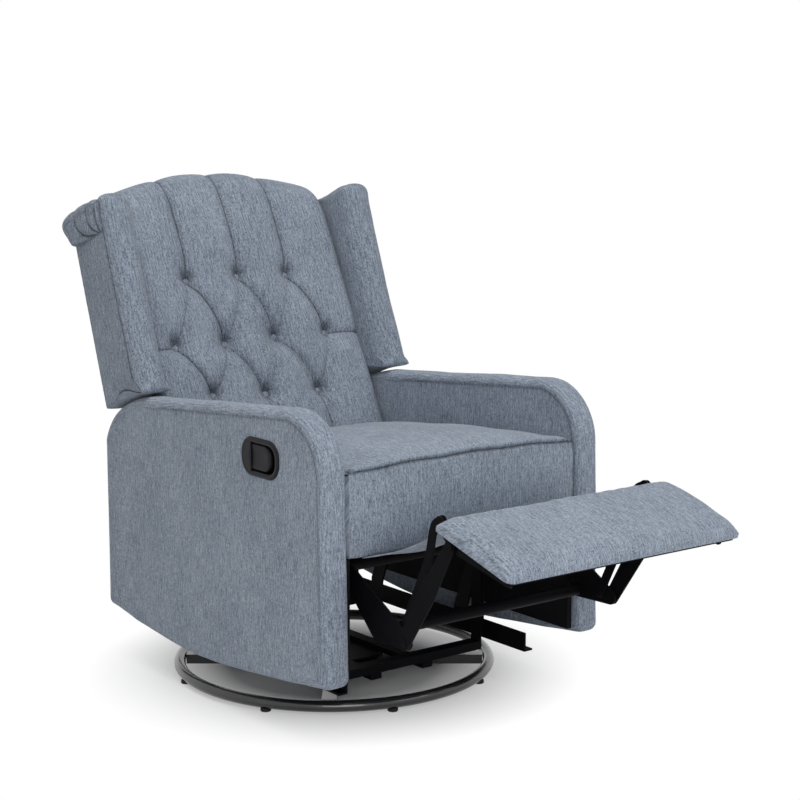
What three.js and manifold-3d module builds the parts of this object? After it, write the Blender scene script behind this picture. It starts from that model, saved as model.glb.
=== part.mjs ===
// Swivel glider recliner with a tufted wing back, its footrest out.
// Millimetres, +Z up, the sitter faces -Y, the sitter's right side is -X.
// The origin is the centre of the swivel ring, on the floor.
import * as THREE from 'three';
import { mergeVertices } from 'three/addons/utils/BufferGeometryUtils.js';
import Module from 'manifold-3d';

const wasm = await Module();
wasm.setup();

// Clearances that every piece shares
const seatGap = 0.3;
const clothGap = 1;
const overrun = 5;

// Overall widths across the chair
const overallWidth = 690;
const armThickness = 58;
const armInner = overallWidth / 2 - armThickness;
const boardThickness = 11;
const steel = 4;
const plateInner = armInner - seatGap - boardThickness - seatGap - steel;

// Arm side outline
const armFront = -460;
const armRear = 372;
const armFrontLean = 10;
const armCrown = 15;
const armTopFrontZ = 638;
const armTopRearZ = 594;
const armTopFrontY = -328;
const armTopRearY = 200;
const armRearCurveY = 335;
const armRearCurveZ = 572;
const armFrontShoulderZ = 518;
const armRearShoulderZ = 485;
const armBottomFrontZ = 125;
const armBottomRearZ = 113;
const armBottomLowZ = 84;
const armBottomLowFront = -110;
const armBottomLowRear = 92;

// Arm board, the black inner panel that the mechanism is bolted to
const armBoardFront = -438;
const armBoardRear = 352;
const armBoardBottom = 132;

// Seat
const seatSideGap = 3;
const seatHalf = armInner - seatSideGap;
const seatFront = -449;
const seatBottom = 364;
const seatDeck = 392;
const seatWeltZ = 526;
const seatRearTopZ = 497;
const seatRearTopY = 178;
const seatRearBottomY = 152;
const seatCrown = 48;
const seatSideDraw = 5;
const seatEdgeShare = 0.04;
const seatRailDepth = 24;
const seatRailRearY = 150;
const springSpread = 150;
const springWire = 2.2;
const springSwing = 21;
const springTurns = 11;

// Back, in its own leaning frame: origin at the recline pivot, local Z up the back
const backLean = 19.4;
const reclineY = 285;
const reclineZ = 420;
const reclinePin = 8;
const backRear = 16;
const backPanelFront = -18;
const wingOut = 7;
const wingThickness = 68;
const wingSeamFront = -116;
const wingFlare = 19;
const wingFlareTopZ = 430;
const wingBottomFrontZ = 160;
const wingBottomRearZ = 142;
const wingTopZ = 586;
const wingCorner = 36;
const wingCrown = 30;
const wingTopCrown = 8;
const wingOuter = overallWidth / 2 + wingOut;
const backHalf = wingOuter - wingThickness - clothGap;
const hingeFoot = 5;
const backLowHalf = plateInner - seatGap - steel - hingeFoot - seatGap;
const backLowZ = 45;
const backBottomZ = -12;
const backPanelBottomZ = -20;
const camelRise = 75;
const scrollY = 29;
const scrollZ = 541;
const scrollRadius = 40;
const scrollEndRound = 16;
const scrollClear = 0.6;
const wingSeamAngle = 125;
const panelSeamAngle = 183;
const cushionTopDrop = 6;

// Tufting of the back cushion
const tuftTopZ = 397;
const tuftPitchZ = 141;
const tuftPitchX = 132;
const tuftRows = 3;
const tuftPlaneY = -78;
const tuftPlaneZ = 120;
const tuftPlaneSlopeShare = 0.11;
const tuftPuff = 27;
const tuftSeamShare = 0.25;
const tuftReach = 46;
const pitDepth = 10;
const pitRadius = 20;

// Handle on the right arm
const handleY = -246;
const handleDrop = 104;
const handleZ = armTopFrontZ - handleDrop;
const bezelLength = 126;
const bezelHeight = 76;
const bezelCorner = 34;
const bezelLip = 7;
const bezelProud = 4;
const cupDepth = 28;
const cupWall = 3;
const paddleLength = 84;
const paddleHeight = 50;
const paddleThickness = 9;
const paddleCorner = 20;
const paddleHingeInset = 28;
const paddlePin = 4;
const paddleEndGap = 3;

// Footrest linkage, side view with the footrest out
const drivePivotY = -390;
const drivePivotZ = 338;
const kneeY = -584;
const kneeZ = 236;
const syncY = -494;
const syncZ = 233;
const controlLowY = -561;
const controlLowZ = 240;
const controlElbowY = -655;
const controlElbowZ = 466;
const controlShoulderY = -641;
const controlShoulderZ = 400;
const padEdgeY = -698;
const padEdgeZ = 490;
const padTilt = 16;
const ottomanPivotU = 30;
const ottomanPivotN = -42;
const controlTopU = -14.7;
const controlTopN = -17.7;
const linkRoom = 13;
const linkPitch = 6;
const longLinkInner = plateInner - linkRoom;
const driveLinkInner = longLinkInner - linkPitch;
const controlLinkInner = driveLinkInner - linkPitch;
const tubeRadius = 12;
const turningBoreSides = 24;
const rivet = 6;
const rivetHead = 9;
const rivetHeadHeight = 2.5;
const linkEnd = 16;
const linkTopEnd = 12;
const longLinkMiddle = 21;
const driveLinkRoot = 19;
const controlEnd = 10;
const controlPlay = 3.2;
const bushRadius = 17;
const bushWidth = 9;

// Footrest pad, board and the cloth flap behind them
const padLength = 213;
const padHalf = seatHalf - clothGap;
const padEdgeThickness = 20;
const padCrown = 13;
const padEdgeShare = 0.03;
const footBoardThickness = 8;
const footBoardSetIn = 13;
const boardHalf = padHalf - footBoardSetIn;
const boardInset = 8;
const angleWidth = 22;
const angleSheet = 2.7;
const angleLength = 186;
const angleStart = 22;
const flapSideGap = 6;
const flapHalf = controlLinkInner - flapSideGap;
const flapThickness = 3;
const flapRootY = -447;
const flapRootZ = seatBottom - clothGap - flapThickness;
const flapSag = 16;
const flapEndInset = 20;
const flapEndDrop = 16;

// Mechanism side plates and the tubes between them
const platePoint = 24;
const rearTubeY = 190;
const plateRearPoint = 26;

// Glide: four hanging links between the swivel frame and the seat rails
const glideY = 225;
const glideTopZ = 222;
const glideLowZ = 96;
const railSetIn = 45;
const railInner = plateInner - railSetIn;
const glideLinkSetIn = 10;
const glideLinkInner = railInner - glideLinkSetIn;
const glideLinkHalf = 14;
const glidePin = 6;
const uprightSetIn = 8;
const uprightInner = glideLinkInner - uprightSetIn;
const railFront = -362;
const railRear = 300;
const railLow = 74;
const railHigh = 114;
const railFlange = 22;
const riserWidth = 40;
const riserFrontY = -150;
const riserRearY = 150;
const riserKneeZ = 236;
const riserFootZ = 120;

// Swivel base
const ringRadius = 332;
const ringTube = 12;
const ringZ = 18;
const baseTurn = -37.5;
const spiderWidth = 30;
const spiderBottom = 7;
const spiderTop = 27;
const hubRadius = 70;
const ringSides = 48;
const footCount = 8;
const footTurn = 22.5;
const footRadius = 11;
const footHeight = 8;
const bearingRadius = 105;
const bearingPlate = 4;
const raceRadius = 60;
const raceWidth = 9;
const raceHeight = 5;
const postRadius = 13;
const postNut = 20;
const postNutHeight = 7;
const beamX = 66;
const beamWidth = 26;
const beamHeight = 12;
const crossDepth = 30;
const crossHeight = 18;

const degree = Math.PI / 180;
const group = new THREE.Group();

function finish(color, roughness, metalness) {
  return { color, roughness, metalness };
}
const cloth = finish(0x7c8795, 0.95, 0);
const paintedSteel = finish(0x16171a, 0.45, 0.6);
const glossSteel = finish(0x0b0b0c, 0.25, 0.5);
const darkPlastic = finish(0x111113, 0.5, 0);
const yellowNylon = finish(0xd8d23a, 0.5, 0);
const wood = finish(0x9c7b52, 0.8, 0);
const blackBoard = finish(0x18181a, 0.9, 0);
const springSteel = finish(0x4a4c50, 0.4, 0.9);
const zinc = finish(0xa7a9ad, 0.35, 0.9);

function add(name, geometry, look, parent = group) {
  const material = new THREE.MeshStandardMaterial(look);
  const mesh = new THREE.Mesh(geometry, material);
  mesh.name = name;
  parent.add(mesh);
  return mesh;
}

// Joining and cutting closed solids
function toManifold(geometry) {
  const bare = geometry.clone();
  bare.deleteAttribute('normal');
  bare.deleteAttribute('uv');
  const merged = mergeVertices(bare, 1e-3);
  return new wasm.Manifold(new wasm.Mesh({
    numProp: 3,
    vertProperties: Float32Array.from(merged.attributes.position.array),
    triVerts: Uint32Array.from(merged.index.array),
  }));
}

function toGeometry(manifold) {
  const mesh = manifold.getMesh();
  const geometry = new THREE.BufferGeometry();
  geometry.setAttribute('position', new THREE.BufferAttribute(mesh.vertProperties, 3));
  geometry.setIndex(new THREE.BufferAttribute(mesh.triVerts, 1));
  geometry.computeVertexNormals();
  return geometry;
}

function join(...geometries) {
  return toGeometry(geometries.map(toManifold).reduce((whole, next) => whole.add(next)));
}

function cut(geometry, ...tools) {
  const whole = toManifold(geometry);
  return toGeometry(tools.map(toManifold).reduce((left, tool) => left.subtract(tool), whole));
}

// A box given by its lowest and highest corner
function block([x0, y0, z0], [x1, y1, z1]) {
  const box = new THREE.BoxGeometry(x1 - x0, y1 - y0, z1 - z0);
  return box.translate((x0 + x1) / 2, (y0 + y1) / 2, (z0 + z1) / 2);
}

// Keeps only what lies below a local height
function trimmedAbove(geometry, top) {
  const far = overallWidth;
  return cut(geometry, block([-far, -far, top], [far, far, top + far]));
}

// An outline drawn in Y and Z, given its thickness along X from xLow
const sideways = new THREE.Matrix4().makeBasis(
  new THREE.Vector3(0, 1, 0), new THREE.Vector3(0, 0, 1), new THREE.Vector3(1, 0, 0));

function sidePlate(shape, thickness, xLow, curveSegments = 6) {
  const plate = new THREE.ExtrudeGeometry(shape, { depth: thickness, bevelEnabled: false, curveSegments });
  return plate.applyMatrix4(sideways).translate(xLow, 0, 0);
}

// A round bar along X between two X places, at a point of the side view
function crossBar([y, z], radius, xLow, xHigh, sides = 12) {
  const bar = new THREE.CylinderGeometry(radius, radius, xHigh - xLow, sides);
  return bar.rotateZ(Math.PI / 2).translate((xLow + xHigh) / 2, y, z);
}

// The lower X of a slab of the given thickness that starts at the distance inner from the middle
function slabLow(side, inner, thickness) {
  return side > 0 ? inner : -inner - thickness;
}

// The outline that a belt would take round a set of discs [y, z, radius]
function beltShape(discs, holes = []) {
  const points = [];
  const steps = 16;
  for (const [y, z, radius] of discs) {
    for (let i = 0; i < steps; i++) {
      const a = 2 * Math.PI * i / steps;
      points.push([y + radius * Math.cos(a), z + radius * Math.sin(a)]);
    }
  }
  points.sort((p, q) => p[0] - q[0] || p[1] - q[1]);
  const turn = (o, p, q) => (p[0] - o[0]) * (q[1] - o[1]) - (p[1] - o[1]) * (q[0] - o[0]);
  const half = (list) => {
    const hull = [];
    for (const p of list) {
      while (hull.length > 1 && turn(hull[hull.length - 2], hull[hull.length - 1], p) <= 0) hull.pop();
      hull.push(p);
    }
    hull.pop();
    return hull;
  };
  const hull = [...half(points), ...half([...points].reverse())];
  const shape = new THREE.Shape(hull.map(([y, z]) => new THREE.Vector2(y, z)));
  for (const [y, z, radius] of holes) {
    shape.holes.push(new THREE.Path().absarc(y, z, radius, 0, 2 * Math.PI, true));
  }
  return shape;
}

// A closed skin over rings of points, one ring for each X station, rings turning from +Y to +Z
function skin(rings) {
  const count = rings[0].length;
  const positions = rings.flat(2);
  const index = [];
  const at = (i, j) => i * count + (j % count);
  for (let i = 0; i + 1 < rings.length; i++) {
    for (let j = 0; j < count; j++) {
      index.push(at(i, j), at(i, j + 1), at(i + 1, j + 1), at(i, j), at(i + 1, j + 1), at(i + 1, j));
    }
  }
  for (const end of [0, rings.length - 1]) {
    const outline = rings[end].map(([, y, z]) => new THREE.Vector2(y, z));
    for (const [a, b, c] of THREE.ShapeUtils.triangulateShape(outline, [])) {
      if (end) index.push(at(end, a), at(end, b), at(end, c));
      else index.push(at(end, a), at(end, c), at(end, b));
    }
  }
  const geometry = new THREE.BufferGeometry();
  geometry.setAttribute('position', new THREE.Float32BufferAttribute(positions, 3));
  geometry.setIndex(index);
  geometry.computeVertexNormals();
  return geometry;
}

// A skin whose ring at each X comes from a function of X that gives [y, z] points
function loft(stations, outline) {
  return skin(stations.map((x) => outline(x).map(([y, z]) => [x, y, z])));
}

function spread(low, high, steps) {
  return Array.from({ length: steps + 1 }, (_, i) => low + (high - low) * i / steps);
}

// Points of an elliptical arc, angles in degrees from +Y towards +Z
function arc(y, z, radiusY, radiusZ, from, to, steps) {
  return spread(from, to, steps).map((a) => [
    y + radiusY * Math.cos(a * degree),
    z + radiusZ * Math.sin(a * degree),
  ]);
}

// Points of a curve that leaves its first point and reaches its last one heading for the middle one
function bend([y0, z0], [y1, z1], [y2, z2], steps) {
  return spread(0, 1, steps).map((t) => [
    (1 - t) ** 2 * y0 + 2 * t * (1 - t) * y1 + t ** 2 * y2,
    (1 - t) ** 2 * z0 + 2 * t * (1 - t) * z1 + t ** 2 * z2,
  ]);
}

// Swivel base: ring, spider, feet and the bearing that the chair turns on
function addBase() {
  const ring = new THREE.TorusGeometry(ringRadius, ringTube, 8, ringSides).translate(0, 0, ringZ);
  add('base_ring', ring, glossSteel);

  const flats = ringRadius * Math.cos(Math.PI / ringSides) - ringTube - seatGap;
  const reach = Math.sqrt(flats ** 2 - (spiderWidth / 2) ** 2);
  const bars = [0, 1].map((i) => block(
    [-reach, -spiderWidth / 2, spiderBottom], [reach, spiderWidth / 2, spiderTop])
    .rotateZ((baseTurn + 90 * i) * degree));
  const hub = new THREE.CylinderGeometry(hubRadius, hubRadius, spiderTop - spiderBottom, 32)
    .rotateX(Math.PI / 2).translate(0, 0, (spiderTop + spiderBottom) / 2);
  const postHole = new THREE.CylinderGeometry(
    postRadius + seatGap, postRadius + seatGap, spiderTop, 20)
    .rotateX(Math.PI / 2).translate(0, 0, spiderBottom + bearingPlate + spiderTop / 2);
  add('base_spider', cut(join(...bars, hub), postHole), glossSteel);

  const cradle = new THREE.TorusGeometry(ringRadius, ringTube + seatGap, 8, ringSides)
    .translate(0, 0, ringZ);
  for (let i = 0; i < footCount; i++) {
    const angle = (baseTurn + footTurn + 360 * i / footCount) * degree;
    const foot = new THREE.CylinderGeometry(footRadius, footRadius, footHeight, 12)
      .rotateX(Math.PI / 2)
      .translate(ringRadius * Math.cos(angle), ringRadius * Math.sin(angle), footHeight / 2);
    add(`base_foot_${i + 1}`, cut(foot, cradle), darkPlastic);
  }

  const lowerPlate = disc(bearingRadius, postRadius + seatGap, bearingPlate, spiderTop + seatGap);
  add('base_bearing_plate', lowerPlate, paintedSteel);
  const raceZ = spiderTop + bearingPlate + 2 * seatGap;
  const race = disc(raceRadius + raceWidth, raceRadius, raceHeight, raceZ);
  add('bearing_race', race, zinc);
  const postBottom = spiderBottom + bearingPlate + seatGap;
  const postTop = swivelPlateZ() + bearingPlate + seatGap + postNutHeight;
  const shank = new THREE.CylinderGeometry(postRadius, postRadius, postTop - postBottom, 20)
    .rotateX(Math.PI / 2).translate(0, 0, (postTop + postBottom) / 2);
  const nut = new THREE.CylinderGeometry(postNut, postNut, postNutHeight, 6)
    .rotateX(Math.PI / 2).translate(0, 0, postTop - postNutHeight / 2);
  add('swivel_post', join(shank, nut), zinc);
}

function swivelPlateZ() {
  return spiderTop + bearingPlate + raceHeight + 3 * seatGap;
}

// A flat ring about the Z axis
function disc(radius, bore, height, bottom) {
  const profile = [[bore, 0], [radius, 0], [radius, height], [bore, height], [bore, 0]];
  return new THREE.LatheGeometry(profile.map(([r, z]) => new THREE.Vector2(r, z)), 28)
    .rotateX(Math.PI / 2).translate(0, 0, bottom);
}

// Swivel frame: plate, two beams and two cross bars whose ends rise to carry the glide links
function addSwivelFrame() {
  const plateZ = swivelPlateZ();
  add('swivel_plate', disc(bearingRadius, postRadius + seatGap, bearingPlate, plateZ), paintedSteel);
  const beamZ = plateZ + bearingPlate + seatGap;
  const crossZ = beamZ + beamHeight + seatGap;
  const halfLength = glideY + crossDepth / 2;
  for (const [side, name] of [[-1, 'right'], [1, 'left']]) {
    const middle = side * beamX;
    add(`swivel_beam_${name}`, block(
      [middle - beamWidth / 2, -halfLength, beamZ],
      [middle + beamWidth / 2, halfLength, beamZ + beamHeight]), paintedSteel);
  }
  for (const [end, name] of [[-1, 'front'], [1, 'rear']]) {
    const y = end * glideY;
    const outer = uprightInner + steel;
    const bar = block(
      [-outer, y - crossDepth / 2, crossZ], [outer, y + crossDepth / 2, crossZ + crossHeight]);
    const pieces = [bar];
    for (const side of [-1, 1]) {
      const shape = beltShape([
        [y, glideTopZ, glideLinkHalf],
        [y - crossDepth / 2 + steel, crossZ + steel, steel],
        [y + crossDepth / 2 - steel, crossZ + steel, steel],
      ]);
      pieces.push(sidePlate(shape, steel, slabLow(side, uprightInner, steel)));
      const pinOut = glideLinkInner + steel + rivetHeadHeight;
      pieces.push(sidewaysPin([y, glideTopZ], glidePin, side, uprightInner, pinOut));
      pieces.push(sidewaysPin([y, glideTopZ], rivetHead, side, pinOut - rivetHeadHeight + seatGap, pinOut));
    }
    add(`swivel_cross_${name}`, join(...pieces), paintedSteel);
  }
}

// A pin along X on one side of the chair, between two distances from the middle
function sidewaysPin(point, radius, side, inner, outer) {
  return crossBar(point, radius, Math.min(side * inner, side * outer), Math.max(side * inner, side * outer));
}

// The four links that the seat hangs and glides on
function addGlideLinks() {
  for (const [end, endName] of [[-1, 'front'], [1, 'rear']]) {
    for (const [side, name] of [[-1, 'right'], [1, 'left']]) {
      const y = end * glideY;
      const hole = glidePin + seatGap;
      const shape = beltShape(
        [[y, glideTopZ, glideLinkHalf], [y, glideLowZ, glideLinkHalf]],
        [[y, glideTopZ, hole], [y, glideLowZ, hole]]);
      const link = sidePlate(shape, steel, slabLow(side, glideLinkInner, steel));
      add(`glide_link_${endName}_${name}`, link, paintedSteel);
    }
  }
}

// Seat rails: angles along the chair that hang on the links, with two risers up to the side plate
function addGlideRails() {
  for (const [side, name] of [[-1, 'right'], [1, 'left']]) {
    const x0 = slabLow(side, railInner, steel);
    const web = block([x0, railFront, railLow], [x0 + steel, railRear, railHigh]);
    const f0 = slabLow(side, railInner, railFlange);
    const flange = block([f0, railFront, railLow], [f0 + railFlange, railRear, railLow + steel]);
    const pieces = [web, flange];
    for (const y of [riserFrontY, riserRearY]) pieces.push(riser(side, y));
    for (const end of [-1, 1]) {
      const inner = glideLinkInner - rivetHeadHeight;
      pieces.push(sidewaysPin([end * glideY, glideLowZ], glidePin, side, inner, railInner + steel / 2));
      pieces.push(sidewaysPin([end * glideY, glideLowZ], rivetHead, side, inner, glideLinkInner - seatGap));
    }
    add(`glide_rail_${name}`, join(...pieces), paintedSteel);
  }
}

// A strap that steps outwards from the rail to the side plate, drawn in X and Z
function riser(side, y) {
  const top = drivePivotZ;
  const outer = plateInner - seatGap;
  const points = [
    [railInner, railLow], [railInner + steel, railLow], [railInner + steel, riserFootZ],
    [outer, riserKneeZ], [outer, top], [outer - steel, top],
    [outer - steel, riserKneeZ + steel], [railInner, riserFootZ + steel],
  ];
  const shape = new THREE.Shape(points.map(([x, z]) => new THREE.Vector2(side * x, z)));
  return new THREE.ExtrudeGeometry(shape, { depth: riserWidth, bevelEnabled: false })
    .rotateX(Math.PI / 2).translate(0, y + riserWidth / 2, 0);
}

// Mechanism side plates, bored for the two tubes and the recline pivot
function addSidePlates() {
  const drive = [drivePivotY, drivePivotZ];
  const rear = [rearTubeY, drivePivotZ];
  for (const [side, name] of [[-1, 'right'], [1, 'left']]) {
    const low = slabLow(side, plateInner, steel);
    const bar = sidePlate(beltShape([[...drive, platePoint], [...rear, platePoint]]), steel, low);
    const horn = sidePlate(
      beltShape([[...rear, platePoint], [reclineY, reclineZ, plateRearPoint]]), steel, low);
    const x0 = low - overrun;
    const x1 = low + steel + overrun;
    const plate = cut(join(bar, horn),
      crossBar(drive, tubeRadius + seatGap, x0, x1, turningBoreSides),
      crossBar(rear, tubeRadius + seatGap, x0, x1),
      crossBar([reclineY, reclineZ], reclinePin + seatGap, x0, x1));
    add(`side_plate_${name}`, plate, paintedSteel);
  }
  const reach = plateInner + steel;
  add('rear_cross_tube', crossBar(rear, tubeRadius, -reach, reach), paintedSteel);
}

// Arm outline in the side view, drawn in by inset on its padded front and top edges
function armOutline(inset) {
  const front = armFront + inset;
  const slope = (armTopRearZ - armTopFrontZ) / (armTopRearY - armTopFrontY);
  const shoulderFront = front + armFrontLean;
  return [
    [front, armBottomFrontZ],
    [armBottomLowFront, armBottomLowZ + steel],
    [0, armBottomLowZ],
    [armBottomLowRear, armBottomLowZ + steel / 2],
    [armRear, armBottomRearZ],
    ...bend([armRear, armRearShoulderZ], [armRearCurveY, armRearCurveZ - inset],
      [armTopRearY, armTopRearZ - inset], 6),
    [(armTopRearY + armTopFrontY) / 2, (armTopRearZ + armTopFrontZ) / 2 - inset],
    ...arc(armTopFrontY, armFrontShoulderZ, armTopFrontY - shoulderFront,
      armTopFrontZ - inset - armFrontShoulderZ, 90 + Math.atan(slope) / degree, 180, 7),
  ];
}

function addArms() {
  const shares = [-1, -0.86, -0.5, 0, 0.5, 0.86, 1];
  for (const [side, name] of [[-1, 'right'], [1, 'left']]) {
    const middle = side * (armInner + armThickness / 2);
    const stations = shares.map((s) => middle + s * armThickness / 2);
    let arm = loft(stations, (x) => armOutline(armCrown * (2 * (x - middle) / armThickness) ** 2));
    if (side < 0) arm = cut(arm, handlePocket());
    add(`arm_${name}`, arm, cloth);
    const low = slabLow(side, armInner - seatGap - boardThickness, boardThickness);
    add(`arm_board_${name}`, block(
      [low, armBoardFront, armBoardBottom],
      [low + boardThickness, armBoardRear, seatBottom - seatGap - clothGap]), blackBoard);
  }
}

// A slab with rounded corners in Y and Z about the handle's centre
function handleSlab(length, height, corner, xLow, xHigh, shiftY = 0) {
  const y = handleY + shiftY;
  const discs = [];
  for (const a of [-1, 1]) {
    for (const b of [-1, 1]) {
      discs.push([y + a * (length / 2 - corner), handleZ + b * (height / 2 - corner), corner]);
    }
  }
  return sidePlate(beltShape(discs), xHigh - xLow, xLow);
}

function cupLength() {
  return bezelLength - 2 * bezelLip;
}

function cupHeight() {
  return bezelHeight - 2 * bezelLip;
}

function handlePocket() {
  const face = -overallWidth / 2;
  return handleSlab(cupLength() + 2 * seatGap, cupHeight() + 2 * seatGap, bezelCorner - bezelLip,
    face - overrun, face + cupDepth + seatGap);
}

// Handle cup with its lip, and the paddle that is pulled outwards about its rear edge
function addHandle() {
  const face = -overallWidth / 2;
  const corner = bezelCorner - bezelLip;
  const lip = handleSlab(bezelLength, bezelHeight, bezelCorner, face - bezelProud, face - seatGap);
  const cup = handleSlab(cupLength(), cupHeight(), corner, face - bezelProud, face + cupDepth);
  const hollow = handleSlab(cupLength() - 2 * cupWall, cupHeight() - 2 * cupWall, corner - cupWall,
    face - bezelProud - overrun, face + cupDepth - cupWall);
  add('handle_bezel', cut(join(lip, cup), hollow), darkPlastic);

  const rearEnd = cupLength() / 2 - cupWall - paddleEndGap;
  const paddle = handleSlab(paddleLength, paddleHeight, paddleCorner,
    face - bezelProud / 2, face - bezelProud / 2 + paddleThickness, rearEnd - paddleLength / 2);
  const stem = upright(paddlePin, cupHeight() - 2 * cupWall - 2 * seatGap);
  add('handle_paddle', join(paddle, stem), darkPlastic);
}

// The paddle's barrel, a short upright cylinder on its hinge line
function upright(radius, height) {
  return new THREE.CylinderGeometry(radius, radius, height, 14).rotateX(Math.PI / 2)
    .translate(paddleHingeX(), paddleHingeY(), handleZ);
}

function paddleHingeX() {
  return -overallWidth / 2 - bezelProud / 2 + paddleThickness;
}

function paddleHingeY() {
  return handleY + cupLength() / 2 - cupWall - paddleHingeInset;
}

// Seat: wooden rails across the side plates, zigzag springs between them, the cushion on top
function addSeat() {
  const reach = plateInner + steel;
  const railTop = seatDeck - seatGap;
  const railBottom = drivePivotZ + platePoint + seatGap;
  const frontRail = drivePivotY - platePoint;
  add('seat_rail_front', block([-reach, frontRail, railBottom],
    [reach, frontRail + seatRailDepth, railTop]), wood);
  add('seat_rail_rear', block([-reach, seatRailRearY - seatRailDepth, railBottom],
    [reach, seatRailRearY, railTop]), wood);
  for (const i of [-1, 0, 1]) {
    add(`seat_spring_${i + 2}`, zigzagSpring(i * springSpread,
      frontRail + seatRailDepth + 2 * seatGap, seatRailRearY - seatRailDepth - 2 * seatGap,
      railTop - springWire), springSteel);
  }
  add('seat_cushion', seatCushion(frontRail), cloth);
}

// A flat zigzag wire between two Y places
function zigzagSpring(x, front, rear, z) {
  const lead = 4 * springWire;
  const points = [new THREE.Vector3(x, front, z), new THREE.Vector3(x, front + lead, z)];
  for (let i = 1; i < springTurns; i++) {
    const swing = i % 2 ? springSwing : -springSwing;
    points.push(new THREE.Vector3(x + swing, front + (rear - front) * i / springTurns, z));
  }
  points.push(new THREE.Vector3(x, rear - lead, z), new THREE.Vector3(x, rear, z));
  const wire = new THREE.Shape().absarc(0, 0, springWire, 0, 2 * Math.PI, false);
  return new THREE.ExtrudeGeometry(wire, {
    steps: springTurns * 3, bevelEnabled: false, curveSegments: 3,
    extrudePath: new THREE.CatmullRomCurve3(points),
  });
}

// The seat cushion: a crowned top, a tall front face that wraps down over the front rail,
// sides that draw in a little at mid height
function seatCushion(frontRail) {
  const flange = frontRail - clothGap;
  const topZ = (y, lift) => {
    const t = (y - seatFront) / (seatRearTopY - seatFront);
    const line = seatWeltZ + (seatRearTopZ - seatWeltZ) * t;
    return line + seatCrown * lift * Math.sin(Math.PI * Math.min(1, t + seatEdgeShare)) ** 0.45;
  };
  const outline = (x) => {
    const edge = Math.abs(x) / seatHalf;
    const lift = (1 - edge ** 4) ** 0.6;
    const front = seatFront + seatSideDraw * (1 - lift);
    const topSteps = spread(0, 1, 11);
    return [
      [front, seatBottom],
      [flange, seatBottom],
      [flange, seatDeck],
      [seatRearBottomY, seatDeck],
      ...topSteps.map((t) => {
        const y = seatRearTopY + (front - seatRearTopY) * t;
        return [y, topZ(y, lift)];
      }),
      [front - seatSideDraw * lift, (seatWeltZ + seatBottom) / 2],
    ];
  };
  const shares = [-1, -0.985, -0.93, -0.8, -0.6, -0.4, -0.2, 0, 0.2, 0.4, 0.6, 0.8, 0.93, 0.985, 1];
  return loft(shares.map((s) => s * seatHalf), outline);
}

// Back group, leaning about the recline pivot
const back = new THREE.Group();
back.position.set(0, reclineY, reclineZ);
back.rotation.x = -backLean * degree;
group.add(back);

// Rise of the back's top above its ends, highest in the middle
function camel(x) {
  return camelRise * (1 - (x / wingOuter) ** 2);
}

// Wing with its outer side panel: one padded slab, flared forward at its foot, whose front bulges
// between its two seams and whose top is cut round the scroll. The edge is 0 midway and 1 at a seam.
function wingOutline(x, edge) {
  const crown = 1 - edge ** 2;
  const frontAt = (z) => {
    const flare = Math.max(0, (wingFlareTopZ - z) / (wingFlareTopZ - wingBottomFrontZ)) ** 2;
    return wingSeamFront - wingFlare * flare - wingCrown * crown;
  };
  const top = wingTopZ + wingTopCrown * (crown - 1);
  const shoulder = top - wingCorner;
  const around = scrollRadius + scrollClear;
  const lowAngle = 180 + Math.asin(Math.sqrt(1 - ((backRear - scrollY) / around) ** 2)) / degree;
  const lead = spread(shoulder, wingBottomFrontZ, 5).slice(1).map((z) => [frontAt(z), z]);
  return [
    [backRear, wingBottomRearZ],
    ...arc(scrollY, scrollZ + camel(x), around, around, lowAngle, wingSeamAngle, 8),
    ...arc(frontAt(shoulder) + wingCorner, shoulder, wingCorner, wingCorner, 90, 180, 4),
    ...lead,
  ];
}

function addWings() {
  const shares = [-1, -0.8, -0.4, 0, 0.4, 0.8, 1];
  for (const [side, name] of [[-1, 'right'], [1, 'left']]) {
    const middle = side * (wingOuter - wingThickness / 2);
    const stations = shares.map((s) => middle + s * wingThickness / 2);
    const outline = (x) => wingOutline(x, 2 * (x - middle) / wingThickness);
    add(`wing_${name}`, loft(stations, outline), cloth, back);
  }
}

// The scroll: a padded roll along the top that overhangs the rear
function addScroll() {
  const straight = wingOuter - scrollEndRound;
  const half = spread(0, straight, 9);
  const round = [30, 60, 90].map((angle) => straight + scrollEndRound * Math.sin(angle * degree));
  const stations = mirrored([...half, ...round]);
  const outline = (x) => {
    const over = Math.max(0, Math.abs(x) - straight) / scrollEndRound;
    const radius = scrollRadius - scrollEndRound * (1 - Math.sqrt(Math.max(0, 1 - over * over)));
    return arc(scrollY, scrollZ + camel(x), radius, radius, 0, 360, 14).slice(0, -1);
  };
  add('back_scroll', loft(stations, outline), cloth, back);
}

// Stations on the left side of the middle, starting at zero, with their mirror images
function mirrored(half) {
  return [...half.slice(1).reverse().map((x) => -x), ...half];
}

// Rear panel: the board with its thin padding and cover, its top hollowed round the scroll
function addBackPanel() {
  const around = scrollRadius + scrollClear;
  const outline = (x) => {
    const wide = Math.abs(x) > backLowHalf;
    const bottom = wide ? backLowZ : backPanelBottomZ;
    const top = scrollZ + camel(x);
    const cornerAngle = 180 + Math.acos((scrollY - backRear) / around) / degree;
    return [
      [backPanelFront, bottom],
      [backRear, bottom],
      ...arc(scrollY, top, around, around, cornerAngle, panelSeamAngle, 5),
      [backPanelFront, top - scrollRadius / 12],
    ];
  };
  const stations = mirrored([...spread(0, backLowHalf, 7), backLowHalf + seatGap, backHalf]);
  add('back_panel', loft(stations, outline), cloth, back);
}

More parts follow.
